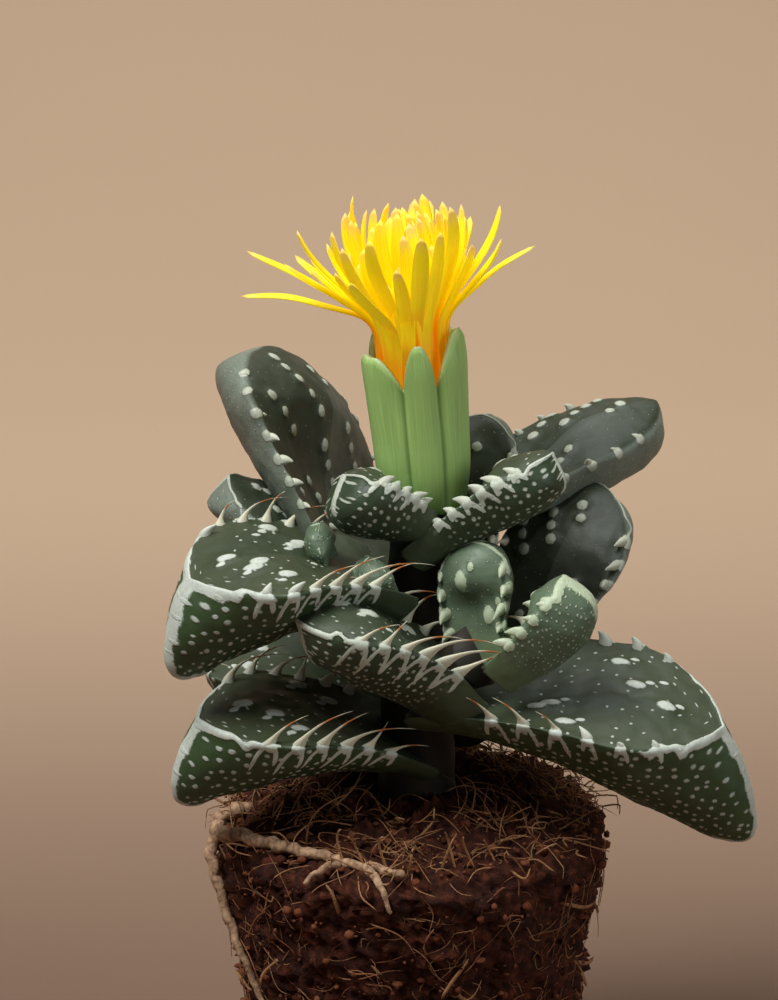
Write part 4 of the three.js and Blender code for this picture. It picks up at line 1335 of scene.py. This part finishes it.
def add_crumbs(strands, count):
    random = sequence(SEEDS["crumbs"])
    for _ in range(count):
        spot, normal = ball_spot(1.5 * next(random), 2 * pi * next(random))
        size = 0.2 + 0.55 * next(random) ** 2
        shade = 0.2 * next(random) ** 2
        squash = Vector((0.6 + 0.8 * next(random), 0.6 + 0.8 * next(random), 0.5 + 0.6 * next(random)))
        made = blank("crumb", 1)
        layer = layers_like(strands, made)[0]
        for vertex in made.verts:
            ripple = size * (1 + 0.35 * noise.noise(vertex.co * 3 + spot))
            vertex.co = Vector(a * b for a, b in zip(vertex.co, squash)) * ripple + spot + normal * 0.1
            vertex[layer] = Vector((shade, 0, 0))
        join(strands, made)


def build_ball():
    ball = look("ball")
    strands = bmesh.new()
    strands.verts.layers.float_vector.new("thread")
    add_model_fibres(strands)
    add_threads(strands, ball.threads)
    add_crumbs(strands, ball.crumbs)
    for vertex in strands.verts:
        vertex.co.z = max(vertex.co.z, 0)
    fibres = bpy.data.meshes.new("fibres")
    strands.to_mesh(fibres)
    strands.free()
    bm = bmesh.new()
    add_ball_body(bm, bm.verts.layers.float_vector.new("thread"))
    bm.from_mesh(fibres)
    bpy.data.meshes.remove(fibres)
    place_piece(bm, "coir_ball", coir_material(), ["root_ball"])


def add_root(bm, root, wander, seed, rows=60, taper=0.35):
    line = route_line(root["route"])

    def bent(t):
        at = line(t)
        places = (at * 0.7 + seed, at * 0.7 - seed, at * 0.9 + seed * 2)
        return at + Vector([noise.noise(place) for place in places]) * wander

    def size(t):
        return root["radius"] * lerp(1, taper, t) * (1 + 0.25 * noise.noise(Vector((t * 14, 0, seed.x))))

    strand(bm, bent, Vector((0.3, 0.9, 0.31)), size, size, 12, rows)


def build_roots():
    root = look("ball").pale_root
    pale = plain_material("pale root", root, tone("7d5c42"), 0.8, 0.85, 0.25)
    front = bmesh.new()
    add_root(front, FRONT_ROOT, 0.5, Vector((3, 1, 2)), taper=0.5)
    for n, branch in enumerate(FRONT_BRANCHES):
        add_root(front, branch, 0.4, Vector((7 + n, 2, 5)), rows=30)
    place_piece(front, "front_root", pale, ["surface_root_front"])
    left = bmesh.new()
    add_root(left, LEFT_ROOT, 0.5, Vector((9, 4, 1)))
    place_piece(left, "left_root", pale, ["surface_root_left"])


class JawsRootBall(bpy.types.Operator):
    """Makes the crumbly root ball with its loose fibres and pale roots"""
    bl_idname = "jaws.root_ball"
    bl_label = "Root Ball"

    def execute(self, context):
        build_ball()
        build_roots()
        return {"FINISHED"}


# Stage
def build_floor(stage):
    """A sheet that runs back from the plant and bends up into the backdrop."""
    bm = bmesh.new()
    bmesh.ops.create_grid(bm, x_segments=8, y_segments=60, size=1)
    bend_from, bend = FLOOR["bend_from"], FLOOR["bend"]
    for vertex in bm.verts:
        run = lerp(FLOOR["front"], FLOOR["back"], (vertex.co.y + 1) / 2)
        past = run - bend_from
        angle = min(max(past / bend, 0), pi / 2)
        y = min(run, bend_from) + bend * sin(angle)
        z = bend * (1 - cos(angle)) + max(0, past - bend * pi / 2)
        vertex.co = Vector((vertex.co.x * FLOOR["half_width"], y, z))
    for face in bm.faces:
        face.smooth = True
    mesh = bpy.data.meshes.new("floor")
    bm.to_mesh(mesh)
    bm.free()
    m = Finish("floor paint")
    cloud = m.grain(m.place(), 300)
    paler = [min(1, c * 1.12) for c in stage.floor]
    away = m.split(m.place())[1]
    # Painted shade: the floor is darker round the plant and in front of it, fading out behind, which also
    # darkens the light it throws back up onto the leaves
    near = 1 - m.step(away, *FLOOR_SHADE_FADE)
    mesh.materials.append(m.surface(m.mix(near, m.mix(cloud, stage.floor, paler), stage.floor_shade), 0.9))
    floor = bpy.data.objects.new("floor", mesh)
    bpy.context.scene.collection.objects.link(floor)


def build_light(name, at, size, tint, watts):
    data = bpy.data.lights.new(name, "AREA")
    data.shape = "DISK"
    data.size = size
    data.energy = watts
    data.color = tint
    light = bpy.data.objects.new(name, data)
    light.location = at
    light.rotation_euler = (Vector(LIT_POINT) - Vector(at)).to_track_quat("-Z", "Y").to_euler()
    bpy.context.scene.collection.objects.link(light)


def build_room():
    world = bpy.data.worlds.new("soft room")
    world.use_nodes = True
    background = world.node_tree.nodes["Background"]
    background.inputs["Color"].default_value = ROOM["tint"]
    background.inputs["Strength"].default_value = ROOM["strength"]
    bpy.context.scene.world = world
    bpy.context.scene.view_settings.view_transform = "Standard"


def build_camera():
    data = bpy.data.cameras.new("camera")
    data.sensor_width = CAMERA["sensor"]
    data.lens = CAMERA["focal_pixels"] * CAMERA["sensor"] / CAMERA["frame_pixels"]
    camera = bpy.data.objects.new("camera", data)
    down = radians(CAMERA["down"])
    forward = Vector((0, cos(down), -sin(down)))
    camera.location = (Vector(CAMERA["looks_at"]) - forward * CAMERA["away"]) * MM
    camera.rotation_euler = forward.to_track_quat("-Z", "Y").to_euler()
    bpy.context.scene.collection.objects.link(camera)
    bpy.context.scene.camera = camera


class JawsStage(bpy.types.Operator):
    """Makes the floor and backdrop, the lights and the camera"""
    bl_idname = "jaws.stage"
    bl_label = "Stage"

    def execute(self, context):
        stage = look("stage")
        build_floor(stage)
        for name, at, size, tint in LIGHTS:
            build_light(name, at, size, tint, getattr(stage, name))
        build_room()
        build_camera()
        return {"FINISHED"}


class JawsPanel(bpy.types.Panel):
    """Lists the plant's pieces and their settings"""
    bl_idname = "VIEW3D_PT_tiger_jaws"
    bl_label = "Tiger Jaws"
    bl_space_type = "VIEW_3D"
    bl_region_type = "UI"
    bl_category = "Tiger Jaws"

    def draw(self, context):
        for operator in OPERATORS:
            self.layout.operator(operator.bl_idname)
        for attribute, group in LOOKS.values():
            settings = getattr(context.scene, attribute)
            box = self.layout.box()
            box.label(text=group.__doc__)
            for name in group.__annotations__:
                box.prop(settings, name)


OPERATORS = (JawsStage, JawsLeaves, JawsStem, JawsFlower, JawsRootBall)
CLASSES = tuple(group for _, group in LOOKS.values()) + OPERATORS + (JawsPanel,)


def register():
    for made in CLASSES:
        bpy.utils.register_class(made)
    for attribute, group in LOOKS.values():
        setattr(bpy.types.Scene, attribute, bpy.props.PointerProperty(type=group))


def unregister():
    for attribute, _ in LOOKS.values():
        delattr(bpy.types.Scene, attribute)
    for made in reversed(CLASSES):
        bpy.utils.unregister_class(made)


def main():
    register()
    bpy.ops.jaws.stage()
    bpy.ops.jaws.leaves()
    bpy.ops.jaws.stem()
    bpy.ops.jaws.flower()
    bpy.ops.jaws.root_ball()


if __name__ == "__main__":
    main()
